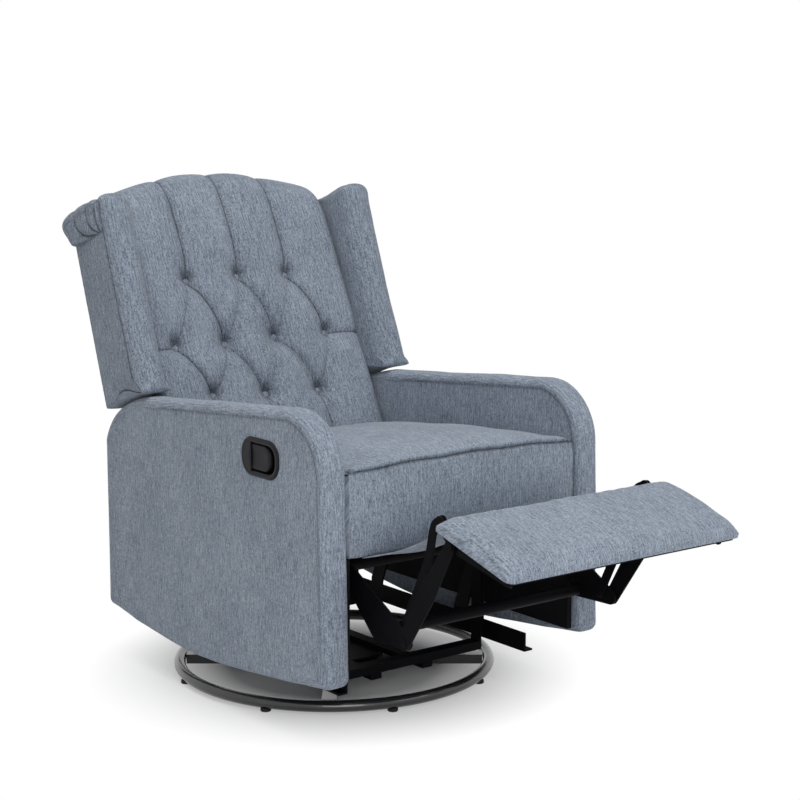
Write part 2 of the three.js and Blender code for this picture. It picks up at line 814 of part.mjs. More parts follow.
// Seams of the tufting as straight stretches between buttons, in X and local Z
function tuftSeams() {
  const seams = [];
  const buttons = [];
  const columns = Math.floor(backHalf / tuftPitchX);
  for (let row = 0; row < tuftRows; row++) {
    const z = tuftTopZ - row * tuftPitchZ;
    const shift = row % 2 ? 0.5 : 0;
    const last = columns - 1;
    for (let column = -last - (row % 2); column <= last; column++) {
      const x = (column + shift) * tuftPitchX;
      buttons.push([x, z]);
      if (row % 2 === 0) {
        const end = row === 0 ? wingTopZ + camelRise : backBottomZ - pitRadius;
        seams.push([x, z, x, end]);
        for (const step of [-0.5, 0.5]) {
          seams.push([x, z, x + step * tuftPitchX, tuftTopZ - tuftPitchZ]);
        }
      }
    }
  }
  for (const side of [-1, 1]) {
    const x = side * (columns - 0.5) * tuftPitchX;
    seams.push([x, tuftTopZ - tuftPitchZ, side * backHalf, tuftTopZ - tuftPitchZ]);
  }
  return { seams, buttons };
}

function seamDistance(x, z, [x0, z0, x1, z1]) {
  const dx = x1 - x0;
  const dz = z1 - z0;
  const t = Math.min(1, Math.max(0, ((x - x0) * dx + (z - z0) * dz) / (dx * dx + dz * dz)));
  return Math.hypot(x - x0 - t * dx, z - z0 - t * dz);
}

// Back cushion: puffed between its seams, pulled in at the buttons, drawn in at its sides
function addBackCushion() {
  const { seams, buttons } = tuftSeams();
  const rounded = (share) => Math.sqrt(share * (2 - share));
  const front = (x, z, top, bottom) => {
    const near = Math.min(...seams.map((seam) => seamDistance(x, z, seam)));
    const puff = Math.sqrt(Math.min(1, near / tuftReach));
    const side = Math.min(1, (backHalf - Math.abs(x)) / tuftReach);
    const end = Math.min(1, Math.max(0, Math.min(top - z, z - bottom)) / tuftReach);
    const pull = (bx, bz) => Math.exp(-(((x - bx) ** 2 + (z - bz) ** 2) / pitRadius ** 2));
    const pit = Math.max(...buttons.map(([bx, bz]) => pull(bx, bz)));
    const plane = tuftPlaneY + (z - tuftPlaneZ) * tuftPlaneSlopeShare;
    const height = tuftPuff * (tuftSeamShare + (1 - tuftSeamShare) * puff);
    return plane + pitDepth * pit - height * rounded(side) * rounded(end);
  };
  const outline = (x) => {
    const bottom = Math.abs(x) > backLowHalf ? backLowZ : backBottomZ;
    const top = scrollZ + camel(x) + scrollRadius - cushionTopDrop;
    const rear = backPanelFront - seatGap;
    return [
      [rear, bottom],
      [rear, top - scrollRadius],
      [rear, top - clothGap],
      ...spread(top, bottom, 22).map((z) => [front(x, z, top, bottom), z]),
    ];
  };
  const step = tuftPitchX / 8;
  const count = Math.floor(backLowHalf / step - 1 / 2);
  const outer = [backLowHalf - seatGap, backLowHalf, backLowHalf + seatGap, backHalf];
  add('back_cushion', loft(mirrored([...spread(0, count * step, count), ...outer]), outline), cloth, back);
}

// Steel brackets that carry the back on the recline pivot
function addBackHinges() {
  for (const [side, name] of [[-1, 'right'], [1, 'left']]) {
    const inner = plateInner - seatGap - steel;
    const low = slabLow(side, inner, steel);
    const top = backLowZ - clothGap;
    const shape = beltShape([[0, 0, plateRearPoint - steel], [0, top - linkEnd, linkEnd]]);
    const pinEnd = plateInner + steel + seatGap / 2;
    const pin = sidewaysPin([0, 0], reclinePin, side, inner, pinEnd);
    const foot = block(
      [Math.min(side * (backLowHalf + seatGap), side * inner), backPanelFront - linkEnd, -linkEnd],
      [Math.max(side * (backLowHalf + seatGap), side * inner), 0, top]);
    add(`back_hinge_${name}`, join(sidePlate(shape, steel, low), pin, foot), paintedSteel, back);
  }
}

// Footrest group: origin at the pad's rear top edge, local -Y runs to its front edge
const footrest = new THREE.Group();
footrest.position.set(0, padEdgeY, padEdgeZ);
footrest.rotation.x = padTilt * degree;
group.add(footrest);

// A place of the footrest group, given along the pad and square to it, in the side view
function onFootrest(along, square) {
  const c = Math.cos(padTilt * degree);
  const s = Math.sin(padTilt * degree);
  return [padEdgeY - along * c - square * s, padEdgeZ - along * s + square * c];
}

// Drive tube with its two links, and the tube that keeps them together
function addDrive() {
  const pivot = [drivePivotY, drivePivotZ];
  const sync = [syncY, syncZ];
  const reach = plateInner + steel;
  add('drive_tube', crossBar(pivot, tubeRadius, -reach, reach), paintedSteel);
  const inner = driveLinkInner - seatGap;
  add('sync_tube', crossBar(sync, tubeRadius, -inner, inner), paintedSteel);
  const bushOuter = inner - steel;
  const ring = crossBar(sync, bushRadius, -bushOuter, -bushOuter + bushWidth, 16);
  const bore = crossBar(sync, tubeRadius + seatGap,
    -bushOuter - overrun, -bushOuter + bushWidth + overrun);
  add('sync_bushing', cut(ring, bore), yellowNylon);
  for (const [side, name] of [[-1, 'right'], [1, 'left']]) {
    const low = slabLow(side, driveLinkInner, steel);
    const shape = beltShape(
      [[...pivot, driveLinkRoot], [kneeY, kneeZ, linkEnd], [...sync, linkEnd]],
      [[...pivot, tubeRadius + seatGap]]);
    const outer = longLinkInner + steel + rivetHeadHeight;
    const deep = controlLinkInner - rivetHeadHeight;
    const knee = [kneeY, kneeZ];
    const lowPoint = [controlLowY, controlLowZ];
    const link = join(
      sidePlate(shape, steel, low),
      sidewaysPin(knee, rivet, side, driveLinkInner + steel / 2, outer),
      sidewaysPin(knee, rivetHead, side, longLinkInner + steel + seatGap, outer),
      sidewaysPin(lowPoint, rivet, side, deep, driveLinkInner + steel / 2),
      sidewaysPin(lowPoint, rivetHead, side, deep, controlLinkInner - seatGap));
    add(`drive_link_${name}`, link, paintedSteel);
  }
}

// The wide long links from the knee to the footrest bracket
function addLongLinks() {
  const [topY, topZ] = onFootrest(ottomanPivotU, ottomanPivotN);
  for (const [side, name] of [[-1, 'right'], [1, 'left']]) {
    const hole = rivet + seatGap;
    const shape = beltShape([
      [kneeY, kneeZ, linkEnd],
      [(kneeY + topY) / 2, (kneeZ + topZ) / 2, longLinkMiddle],
      [topY, topZ, linkTopEnd],
    ], [[kneeY, kneeZ, hole], [topY, topZ, hole]]);
    add(`long_link_${name}`, sidePlate(shape, steel, slabLow(side, longLinkInner, steel)), paintedSteel);
  }
}

// The bent control links behind the long links
function addControlLinks() {
  const top = onFootrest(controlTopU, controlTopN);
  for (const [side, name] of [[-1, 'right'], [1, 'left']]) {
    const low = slabLow(side, controlLinkInner, steel);
    const route = [
      [controlLowY, controlLowZ, controlEnd],
      [controlShoulderY, controlShoulderZ, controlEnd],
      [controlElbowY, controlElbowZ, controlEnd],
      [...top, controlEnd + controlPlay],
    ];
    const bars = route.slice(1).map((end, i) => sidePlate(beltShape([route[i], end]), steel, low));
    const x0 = low - overrun;
    const x1 = low + steel + overrun;
    add(`control_link_${name}`, cut(join(...bars),
      crossBar([controlLowY, controlLowZ], rivet + seatGap, x0, x1),
      crossBar(top, rivet / 2 + controlPlay, x0, x1)), paintedSteel);
  }
}

// Footrest brackets: an angle under the board with the pins of the long and control links
function addBrackets() {
  const flangeTop = -padEdgeThickness - footBoardThickness - 2 * seatGap;
  for (const [side, name] of [[-1, 'right'], [1, 'left']]) {
    const low = slabLow(side, driveLinkInner, steel);
    const shape = beltShape([
      [-ottomanPivotU, ottomanPivotN, linkTopEnd],
      [-angleLength, ottomanPivotN + steel, rivet],
    ]);
    const ear = beltShape([
      [-ottomanPivotU, ottomanPivotN, linkTopEnd],
      [-controlTopU, controlTopN, controlEnd],
    ]);
    const web = trimmedAbove(sidePlate(shape, steel, low), flangeTop);
    const earPlate = cut(sidePlate(ear, steel, low), block(
      [-overallWidth, -padLength, flangeTop], [overallWidth, seatGap, padEdgeThickness]));
    const flangeLow = slabLow(side, driveLinkInner + steel - angleWidth, angleWidth);
    const flange = block(
      [flangeLow, -angleLength, flangeTop - angleSheet], [flangeLow + angleWidth, -angleStart, flangeTop]);
    const outer = longLinkInner + steel + rivetHeadHeight;
    const pivot = [-ottomanPivotU, ottomanPivotN];
    const controlPivot = [-controlTopU, controlTopN];
    const inner = controlLinkInner - rivetHeadHeight;
    add(`footrest_bracket_${name}`, join(web, earPlate, flange,
      sidewaysPin(pivot, rivet, side, driveLinkInner + steel / 2, outer),
      sidewaysPin(pivot, rivetHead, side, longLinkInner + steel + seatGap, outer),
      sidewaysPin(controlPivot, rivet / 2, side, inner, driveLinkInner + steel / 2),
      sidewaysPin(controlPivot, rivet, side, inner, controlLinkInner - seatGap)), paintedSteel, footrest);
  }
}

// Footrest board and its crowned pad
function addFootrestPad() {
  const boardTop = -padEdgeThickness - seatGap;
  add('footrest_board', block([-boardHalf, -padLength + boardInset, boardTop - footBoardThickness],
    [boardHalf, -boardInset / 2, boardTop]), wood, footrest);
  const outline = (x) => {
    const edge = Math.abs(x) / padHalf;
    const lift = (1 - edge ** 6) ** 0.5;
    const draw = boardInset * (1 - lift);
    return [
      [-padLength + draw, -padEdgeThickness],
      [-draw, -padEdgeThickness],
      [-draw, -padEdgeThickness / 2],
      ...spread(padEdgeShare, 1 - padEdgeShare, 8).map((t) => [
        -draw - t * (padLength - 2 * draw),
        -padEdgeThickness / 4 * (1 - lift) + padCrown * lift * Math.sin(Math.PI * t) ** 0.5,
      ]),
      [-padLength + draw, -padEdgeThickness / 2],
    ];
  };
  const shares = [-1, -0.985, -0.93, -0.8, -0.5, 0, 0.5, 0.8, 0.93, 0.985, 1];
  add('footrest_pad', loft(shares.map((s) => s * padHalf), outline), cloth, footrest);
}

// Cloth flap from the seat's front edge to the footrest's rear edge, sagging between them
function addFlap() {
  const [endY, endZ] = onFootrest(-flapEndInset, -flapEndDrop);
  const rows = spread(0, 1, 10).map((t) => [
    flapRootY + (endY - flapRootY) * t,
    flapRootZ + (endZ - flapRootZ) * t - flapSag * Math.sin(Math.PI * t),
  ]);
  const upper = rows.map(([y, z]) => [y, z + flapThickness]);
  const outline = () => [...rows.slice().reverse(), ...upper];
  add('footrest_flap', loft(spread(-flapHalf, flapHalf, 6), outline), cloth);
}

addBase();
addSwivelFrame();
addGlideLinks();
addGlideRails();
addSidePlates();
addArms();
addHandle();
addSeat();
addWings();
addScroll();
addBackPanel();
addBackCushion();
addBackHinges();
addDrive();
addLongLinks();
addControlLinks();
addBrackets();
addFootrestPad();
addFlap();

export default group;
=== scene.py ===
import math

import bmesh
import bpy
import numpy as np
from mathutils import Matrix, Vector
from mathutils.bvhtree import BVHTree


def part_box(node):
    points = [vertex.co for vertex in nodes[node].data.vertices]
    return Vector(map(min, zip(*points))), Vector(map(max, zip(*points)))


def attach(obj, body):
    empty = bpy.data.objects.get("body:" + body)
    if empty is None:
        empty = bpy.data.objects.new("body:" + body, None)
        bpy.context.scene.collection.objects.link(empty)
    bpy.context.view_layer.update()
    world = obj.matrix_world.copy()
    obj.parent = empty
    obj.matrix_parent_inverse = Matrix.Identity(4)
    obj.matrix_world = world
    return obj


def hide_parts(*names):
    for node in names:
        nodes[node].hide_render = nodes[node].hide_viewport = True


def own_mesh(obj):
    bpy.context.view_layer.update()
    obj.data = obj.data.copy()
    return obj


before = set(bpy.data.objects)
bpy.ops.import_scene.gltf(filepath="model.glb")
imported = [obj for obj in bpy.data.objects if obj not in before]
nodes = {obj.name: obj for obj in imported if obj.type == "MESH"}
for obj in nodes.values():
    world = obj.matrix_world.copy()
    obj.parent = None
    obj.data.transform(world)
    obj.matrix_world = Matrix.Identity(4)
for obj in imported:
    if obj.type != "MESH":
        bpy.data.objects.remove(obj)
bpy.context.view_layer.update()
scene = bpy.context.scene


# Studio. A pale floor that runs out into a white surround, three square soft lamps, and a
# camera a little above the chair's top, in front of the sitter's right knee.
camera_place = (-2.2447, -3.1568, 1.2100)
camera_tilt = math.radians(80.76)
camera_turn = math.radians(-37.51)
camera_lens = 83.46
film_width = 36.0
camera = bpy.data.objects.new("camera", bpy.data.cameras.new("camera"))
camera.data.sensor_width = film_width
camera.data.lens = camera_lens
camera.location = camera_place
camera.rotation_euler = (camera_tilt, 0.0, camera_turn)
scene.collection.objects.link(camera)
scene.camera = camera
scene.view_settings.view_transform = "Standard"


def wire(tree, kind, sockets=None, **settings):
    """Adds a node to a tree, sets its options, and links or sets its input sockets."""
    node = tree.nodes.new(kind)
    for key, value in settings.items():
        setattr(node, key, value)
    for key, value in (sockets or {}).items():
        if isinstance(value, bpy.types.NodeSocket):
            tree.links.new(value, node.inputs[key])
        else:
            node.inputs[key].default_value = value
    return node


def quads(rows, columns):
    """Corner numbers of the faces of a grid: i,j then i,j+1 then i+1,j+1 then i+1,j."""
    i = np.arange(rows - 1)[:, None] * columns
    j = np.arange(columns - 1)[None, :]
    corners = [i + j, i + j + 1, i + columns + j + 1, i + columns + j]
    return np.stack(corners, -1).reshape(-1, 4)


def shell(name, grids, grains=None, folds=None, crease=None):
    """One piece from grids of points, rows by columns by three. Equal points are welded,
    so a ring repeats its first column and a pole repeats one point along a row. The grain
    grids give each point its place on the cloth, in metres, and the fold grids how far it
    lies in the shade of a seam or pleat, from 0 to 1. With a crease angle, edges that turn
    further than it stay sharp."""
    sizes = [grid.shape[0] * grid.shape[1] for grid in grids]
    starts = np.cumsum([0] + sizes[:-1])
    points = np.concatenate([grid.reshape(-1, 3) for grid in grids])
    faces = np.concatenate([quads(*g.shape[:2]) + s for g, s in zip(grids, starts)])
    mesh = bpy.data.meshes.new(name)
    mesh.from_pydata(points.tolist(), [], faces.tolist())
    if folds is not None:
        folds = [np.stack([fold, 0 * fold], -1) for fold in folds]
    for layer_name, given in (("grain", grains), ("fold", folds)):
        if given is not None:
            values = np.concatenate([g.reshape(-1, 2) for g in given])[faces.ravel()]
            layer = mesh.uv_layers.new(name=layer_name)
            layer.data.foreach_set("uv", values.astype(np.float32).ravel())
    work = bmesh.new()
    work.from_mesh(mesh)
    bmesh.ops.remove_doubles(work, verts=work.verts, dist=2e-6)
    bmesh.ops.dissolve_degenerate(work, edges=work.edges, dist=1e-6)
    bmesh.ops.recalc_face_normals(work, faces=work.faces)
    work.to_mesh(mesh)
    work.free()
    mesh.shade_smooth()
    if crease is not None:
        mesh.set_sharp_from_angle(angle=math.radians(crease))
    piece = bpy.data.objects.new(name, mesh)
    scene.collection.objects.link(piece)
    return piece


def material_tree(name):
    """A new material, its node tree and its Principled shader."""
    material = bpy.data.materials.new(name)
    material.use_nodes = True
    return material, material.node_tree, material.node_tree.nodes["Principled BSDF"]


def direct_view(tree):
    """One for the camera's own rays and those that a gloss or a glass passes on to it,
    nought for all others."""
    rays = wire(tree, "ShaderNodeLightPath").outputs
    total = 0.0
    for kind in ("Is Camera Ray", "Is Glossy Ray", "Is Transmission Ray"):
        total = wire(tree, "ShaderNodeMath", {0: total, 1: rays[kind]},
                     operation="ADD", use_clamp=True).outputs[0]
    return total


floor_reach = 30.0
floor_whiteness = 0.86
floor_fade_start, floor_fade_end = 0.22, 0.53
floor_x, floor_y = np.meshgrid([-floor_reach, floor_reach], [-floor_reach, floor_reach])
floor = shell("floor", [np.stack([floor_x, floor_y, 0 * floor_x], -1)])
floor_paint, tree, shader = material_tree("pale floor")
shader.inputs["Base Color"].default_value = (*[floor_whiteness] * 3, 1)
shader.inputs["Roughness"].default_value = 0.8
shader.inputs["Specular IOR Level"].default_value = 0.1
place = wire(tree, "ShaderNodeTexCoord").outputs["Object"]
distance = wire(tree, "ShaderNodeVectorMath", {0: place}, operation="LENGTH")
fade = wire(tree, "ShaderNodeMapRange", {
    "Value": distance.outputs["Value"], "From Min": floor_fade_start,
    "From Max": floor_fade_end})
share = wire(tree, "ShaderNodeMath", {0: direct_view(tree), 1: fade.outputs["Result"]},
             operation="MULTIPLY")
white = wire(tree, "ShaderNodeEmission", {"Color": (1, 1, 1, 1), "Strength": 1.0})
mixed = wire(tree, "ShaderNodeMixShader", {
    0: share.outputs[0], 1: shader.outputs[0], 2: white.outputs[0]})
tree.links.new(mixed.outputs[0], tree.nodes["Material Output"].inputs["Surface"])
floor.data.materials.append(floor_paint)

surround_light = 0.30
world = bpy.data.worlds.new("studio surround")
world.use_nodes = True
scene.world = world
tree = world.node_tree
strength = wire(tree, "ShaderNodeMapRange", {
    "Value": direct_view(tree), "To Min": surround_light, "To Max": 1.0})
background = tree.nodes["Background"]
background.inputs["Color"].default_value = (1, 1, 1, 1)
tree.links.new(strength.outputs["Result"], background.inputs["Strength"])


def lamp(name, place, aim, size, power):
    """A square soft lamp at a place, tilted and turned by the two angles of its aim."""
    light = bpy.data.lights.new(name, "AREA")
    light.shape = "SQUARE"
    light.size = size
    light.energy = power
    holder = bpy.data.objects.new(name, light)
    holder.location = place
    way = np.array(aim, float) - np.array(place, float)
    flat = math.hypot(way[0], way[1])
    turn = math.atan2(way[1], way[0]) - math.pi / 2
    holder.rotation_euler = (math.atan2(flat, -way[2]), 0, turn)
    scene.collection.objects.link(holder)


lamp_aim = (0, 0, 0.5)
lamp("front lamp", (1.6, -4.2, 3.2), lamp_aim, size=2.4, power=50)
lamp("top lamp", (-0.6, -0.4, 4.2), lamp_aim, size=3.0, power=92)
lamp("camera side lamp", (-2.4, -4.2, 1.6), lamp_aim, size=2.4, power=80)


# Swivel base. A bent steel tube closed into a ring, enamelled gloss black, with a flat
# bar spider and hub welded inside it and plastic feet pressed on underneath.
def extent(node):
    """Lowest and highest corner of a CAD node at rest, to a hundredth of a millimetre."""
    return [[round(float(place), 5) for place in places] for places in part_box(node)]


def side_view(node):
    """Middle and half size of a CAD node in the side view, each as y and z."""
    low, high = extent(node)
    middle = [round((low[k] + high[k]) / 2, 6) for k in (1, 2)]
    return middle, [round((high[k] - low[k]) / 2, 6) for k in (1, 2)]


def turned(profile, middle, axis, sides):
    """The grid of a turned form. Each profile row gives a radius and a distance along the
    axis, and is carried round it: radius times cosine and sine of the angle, and height."""
    profile = np.array(profile, float)
    angle = np.linspace(0, 2 * math.pi, sides + 1)
    angle[-1] = 0
    grid = np.zeros((len(profile), sides + 1, 3))
    across = [k for k in range(3) if k != axis]
    grid[:, :, across[0]] = profile[:, :1] * np.cos(angle)
    grid[:, :, across[1]] = profile[:, :1] * np.sin(angle)
    grid[:, :, axis] = profile[:, 1:]
    return grid + np.array(middle, float)


def surface_wear():
    """Shader group for hard finishes. Fine speckle and broad blotches on the object's own
    coordinates vary a colour and a roughness, and give a faint orange peel height."""
    group = bpy.data.node_groups.new("surface wear", "ShaderNodeTree")
    face = group.interface
    for name, kind in (("Finish", "NodeSocketColor"), ("Dust", "NodeSocketColor"),
                       ("Dustiness", "NodeSocketFloat"), ("Polish", "NodeSocketFloat"),
                       ("Peel size", "NodeSocketFloat")):
        face.new_socket(name=name, in_out="INPUT", socket_type=kind)
    for name, kind in (("Colour", "NodeSocketColor"), ("Roughness", "NodeSocketFloat"),
                       ("Height", "NodeSocketFloat")):
        face.new_socket(name=name, in_out="OUTPUT", socket_type=kind)
    given = wire(group, "NodeGroupInput").outputs
    result = wire(group, "NodeGroupOutput")
    place = wire(group, "ShaderNodeTexCoord").outputs["Object"]
    speckle = wire(group, "ShaderNodeTexNoise", {
        "Vector": place, "Scale": 420.0, "Detail": 3.0, "Roughness": 0.6})
    blotch = wire(group, "ShaderNodeTexNoise", {
        "Vector": place, "Scale": 14.0, "Detail": 4.0, "Roughness": 0.65})
    peel = wire(group, "ShaderNodeTexNoise", {
        "Vector": place, "Scale": given["Peel size"], "Detail": 1.0})
    patches = wire(group, "ShaderNodeMapRange", {
        "Value": blotch.outputs["Fac"], "From Min": 0.42, "From Max": 0.72})
    amount = wire(group, "ShaderNodeMath", {
        0: patches.outputs["Result"], 1: speckle.outputs["Fac"]}, operation="MULTIPLY")
    amount = wire(group, "ShaderNodeMath", {
        0: amount.outputs[0], 1: given["Dustiness"]}, operation="MULTIPLY", use_clamp=True)
    colour = wire(group, "ShaderNodeMix", {
        "Factor": amount.outputs[0], "A": given["Finish"], "B": given["Dust"]},
        data_type="RGBA")
    rough = wire(group, "ShaderNodeMath", {
        0: blotch.outputs["Fac"], 1: 0.18, 2: given["Polish"]}, operation="MULTIPLY_ADD")
    group.links.new(colour.outputs["Result"], result.inputs["Colour"])
    group.links.new(rough.outputs[0], result.inputs["Roughness"])
    group.links.new(peel.outputs["Fac"], result.inputs["Height"])
    return group


wear = surface_wear()


def hard_finish(name, colour, dust, dustiness, polish, metal=0.0, peel=160.0, bump=0.04,
                gloss=0.5):
    """A hard material on the surface wear group: paint, moulded plastic or plated steel.
    Polish is the roughness where it is cleanest, and peel the fineness of its relief."""
    material, tree, shader = material_tree(name)
    used = wire(tree, "ShaderNodeGroup", node_tree=wear)
    used.inputs["Finish"].default_value = (*colour, 1)
    used.inputs["Dust"].default_value = (*dust, 1)
    used.inputs["Dustiness"].default_value = dustiness
    used.inputs["Polish"].default_value = polish
    used.inputs["Peel size"].default_value = peel
    relief = wire(tree, "ShaderNodeBump", {
        "Height": used.outputs["Height"], "Strength": bump, "Distance": 0.001})
    tree.links.new(used.outputs["Colour"], shader.inputs["Base Color"])
    tree.links.new(used.outputs["Roughness"], shader.inputs["Roughness"])
    tree.links.new(relief.outputs["Normal"], shader.inputs["Normal"])
    shader.inputs["Metallic"].default_value = metal
    shader.inputs["Specular IOR Level"].default_value = gloss
    return material


def dress(piece, material, body, slot, *stands_for):
    """Gives a finished piece its material, its body and the nodes it replaces. The slot is not
    used.
    """
    piece.data.materials.append(material)
    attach(piece, body)
    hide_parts(*stands_for)


def repaint(material, *names):
    """Gives CAD nodes whose shape is right their material."""
    for name in names:
        nodes[name].data.materials.clear()
        nodes[name].data.materials.append(material)


gloss_enamel = hard_finish("gloss black enamel", (0.012, 0.012, 0.013), (0.20, 0.19, 0.18),
                           dustiness=0.10, polish=0.16)
gloss_enamel.node_tree.nodes["Principled BSDF"].inputs["Coat Weight"].default_value = 0.35
black_plastic = hard_finish("moulded black plastic", (0.0075, 0.007, 0.0095),
                            (0.10, 0.10, 0.11), dustiness=0.08, polish=0.42,
                            peel=900.0, bump=0.25, gloss=0.18)
satin_paint = hard_finish("satin black paint", (0.003, 0.003, 0.004), (0.06, 0.055, 0.05),
                          dustiness=0.06, polish=0.42, gloss=0.04)
zinc_plate = hard_finish("zinc plate", (0.55, 0.56, 0.58), (0.30, 0.28, 0.25),
                         dustiness=0.30, polish=0.26, metal=0.9)

(_, ring_height), (ring_reach, ring_tube) = side_view("base_ring")
ring_radius = ring_reach - ring_tube
around = np.linspace(0, 2 * math.pi, 145)
around[-1] = 0
tube = np.linspace(0, 2 * math.pi, 25)
tube[-1] = 0
reach = ring_radius + ring_tube * np.cos(tube)[None, :]
ring_grid = np.stack([np.cos(around)[:, None] * reach, np.sin(around)[:, None] * reach,
                      ring_height + ring_tube * np.sin(tube)[None, :] + 0 * around[:, None]], -1)
dress(shell("ring_tube", [ring_grid]), gloss_enamel, "base", "gloss_black_steel", "base_ring")

foot_radius = 0.011
foot_height = 0.0078
foot_round, foot_taper, foot_rim = 0.0015, 0.0004, 0.001
foot_profile = [(0, 0), (foot_radius - foot_round, 0), (foot_radius, foot_round),
                (foot_radius - foot_taper, foot_height - foot_rim),
                (foot_radius - foot_taper - foot_rim, foot_height), (0, foot_height)]
for number in range(1, 9):
    low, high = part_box(f"base_foot_{number}")
    middle = ((low[0] + high[0]) / 2, (low[1] + high[1]) / 2, 0)
    foot = turned(foot_profile, middle, 2, 32)
    dress(shell(f"ring_foot_{number}", [foot], crease=35), black_plastic,
          "base", "black_plastic", f"base_foot_{number}")
repaint(gloss_enamel, "base_spider")
repaint(satin_paint, "base_bearing_plate")
repaint(zinc_plate, "bearing_race", "swivel_post")


# Swivel frame. Plate, two beams and two cross bars of bent flat steel, painted satin
# black and welded, whose turned-up ends carry the pins of the hanging links.
repaint(satin_paint, "swivel_plate", "swivel_beam_left", "swivel_beam_right",
        "swivel_cross_front", "swivel_cross_rear")


# Hanging glide links. Four punched flat steel links with rounded ends, riveted on
# shouldered pins at the cross bars above and the seat rails below.
sheet_steel = 0.004
edge_break = 0.0006


def plate_grid(discs, x_low, x_high):
    """A flat link: in each direction the outline stands where the furthest of the discs
    (y, z, radius) reaches, as a belt round them would. Rows run from the middle of one
    face over its broken edges to the middle of the other."""
    discs = np.array(discs, float)
    angle = np.linspace(0, 2 * math.pi, 97)
    angle[-1] = 0
    way = np.stack([np.cos(angle), np.sin(angle)], -1)

    def outline(inset):
        """The belt's line, drawn in by the inset."""
        reach = way @ discs[:, :2].T + discs[:, 2] - inset
        far = np.argmax(reach, axis=1)
        return discs[far, :2] + way * (discs[far, 2:] - inset)

    full, drawn = outline(0), outline(edge_break)
    middle = np.broadcast_to(discs[:, :2].mean(0), full.shape)
    rows = [(x_low, middle), (x_low, drawn), (x_low + edge_break, full),
            (x_high - edge_break, full), (x_high, drawn), (x_high, middle)]
    grid = np.zeros((len(rows), len(angle), 3))
    for row, (x, line) in enumerate(rows):
        grid[row, :, 0] = x
        grid[row, :, 1:] = line
    return grid


def rivet_grid(point, radius, side, foot, head, dome=0.7):
    """A round pin along X on one side of the chair, from the distance foot to the distance
    head, its outer end domed: the radius falls as a quarter ellipse over the dome."""
    swell = np.linspace(0, math.pi / 2, 7)
    lift = radius * dome
    straight = abs(head - foot) - lift
    way = 1 if head > foot else -1
    profile = [(0, side * foot), (radius, side * foot)]
    profile += [(radius * math.cos(a), side * (foot + way * (straight + lift * math.sin(a))))
                for a in swell]
    profile[-1] = (0, profile[-1][1])
    return turned(profile, (0, point[0], point[1]), 0, 24)


def span(side, inner):
    """The two X places of a steel sheet that starts at a distance from the middle."""
    return (inner, inner + sheet_steel) if side > 0 else (-inner - sheet_steel, -inner)


sides = {"right": -1, "left": 1}
link_inner = extent("glide_link_front_left")[0][0]
for end in ("front", "rear"):
    for name, side in sides.items():
        (link_y, link_z), (link_half, reach) = side_view(f"glide_link_{end}_{name}")
        link = plate_grid([(link_y, link_z + reach - link_half, link_half),
                           (link_y, link_z - reach + link_half, link_half)],
                          *span(side, link_inner))
        dress(shell(f"hanging_link_{end}_{name}", [link], crease=35), satin_paint,
              f"glide_{end}", "black_painted_steel", f"glide_link_{end}_{name}")
repaint(satin_paint, "glide_rail_left", "glide_rail_right")


# Side plates, tubes and arm boards. Pressed steel plates bolted to the black fabric-faced
# boards inside the arms, with steel tubes across between them.
tube_lip = 0.001


def tube_grid(node):
    """A tube along X in the place of a CAD node: its profile is a rectangle whose two end
    corners are broken by the lip."""
    middle, (radius, _) = side_view(node)
    reach = extent(node)[1][0]
    profile = [(0, -reach), (radius - tube_lip, -reach), (radius, -reach + tube_lip),
               (radius, reach - tube_lip), (radius - tube_lip, reach), (0, reach)]
    return turned(profile, (0, *middle), 0, 40)


dress(shell("rear_tube", [tube_grid("rear_cross_tube")], crease=35),
      satin_paint, "seat", "black_painted_steel", "rear_cross_tube")
repaint(satin_paint, "side_plate_left", "side_plate_right")
board_cover = hard_finish("black board cover", (0.003, 0.003, 0.0045), (0.03, 0.03, 0.03),
                          dustiness=0.25, polish=0.72, peel=1400.0, bump=0.6, gloss=0.1)
repaint(board_cover, "arm_board_left", "arm_board_right")


# Arms. Timber frames padded with foam: a wide padded band runs up the front, over the top
# and down the rear between two flat panels, sewn to them with plain seams. Cloth all round
# is a heathered blue grey linen weave.
arm_inner, arm_outer = (place[0] for place in extent("arm_left"))
arm_roll = 0.020
arm_squareness = 0.62
seam_sink, seam_shoulder = 0.0022, 0.0009
seam_shade = 0.75
seam_width = 0.0026
stitch_pitch = 0.021
panel_sink = 0.0034
panel_swell = 0.0012
# The colour that painted shade in seams, pleats and pits draws the cloth towards.
painted_shade_colour = (0.016, 0.020, 0.030, 1)


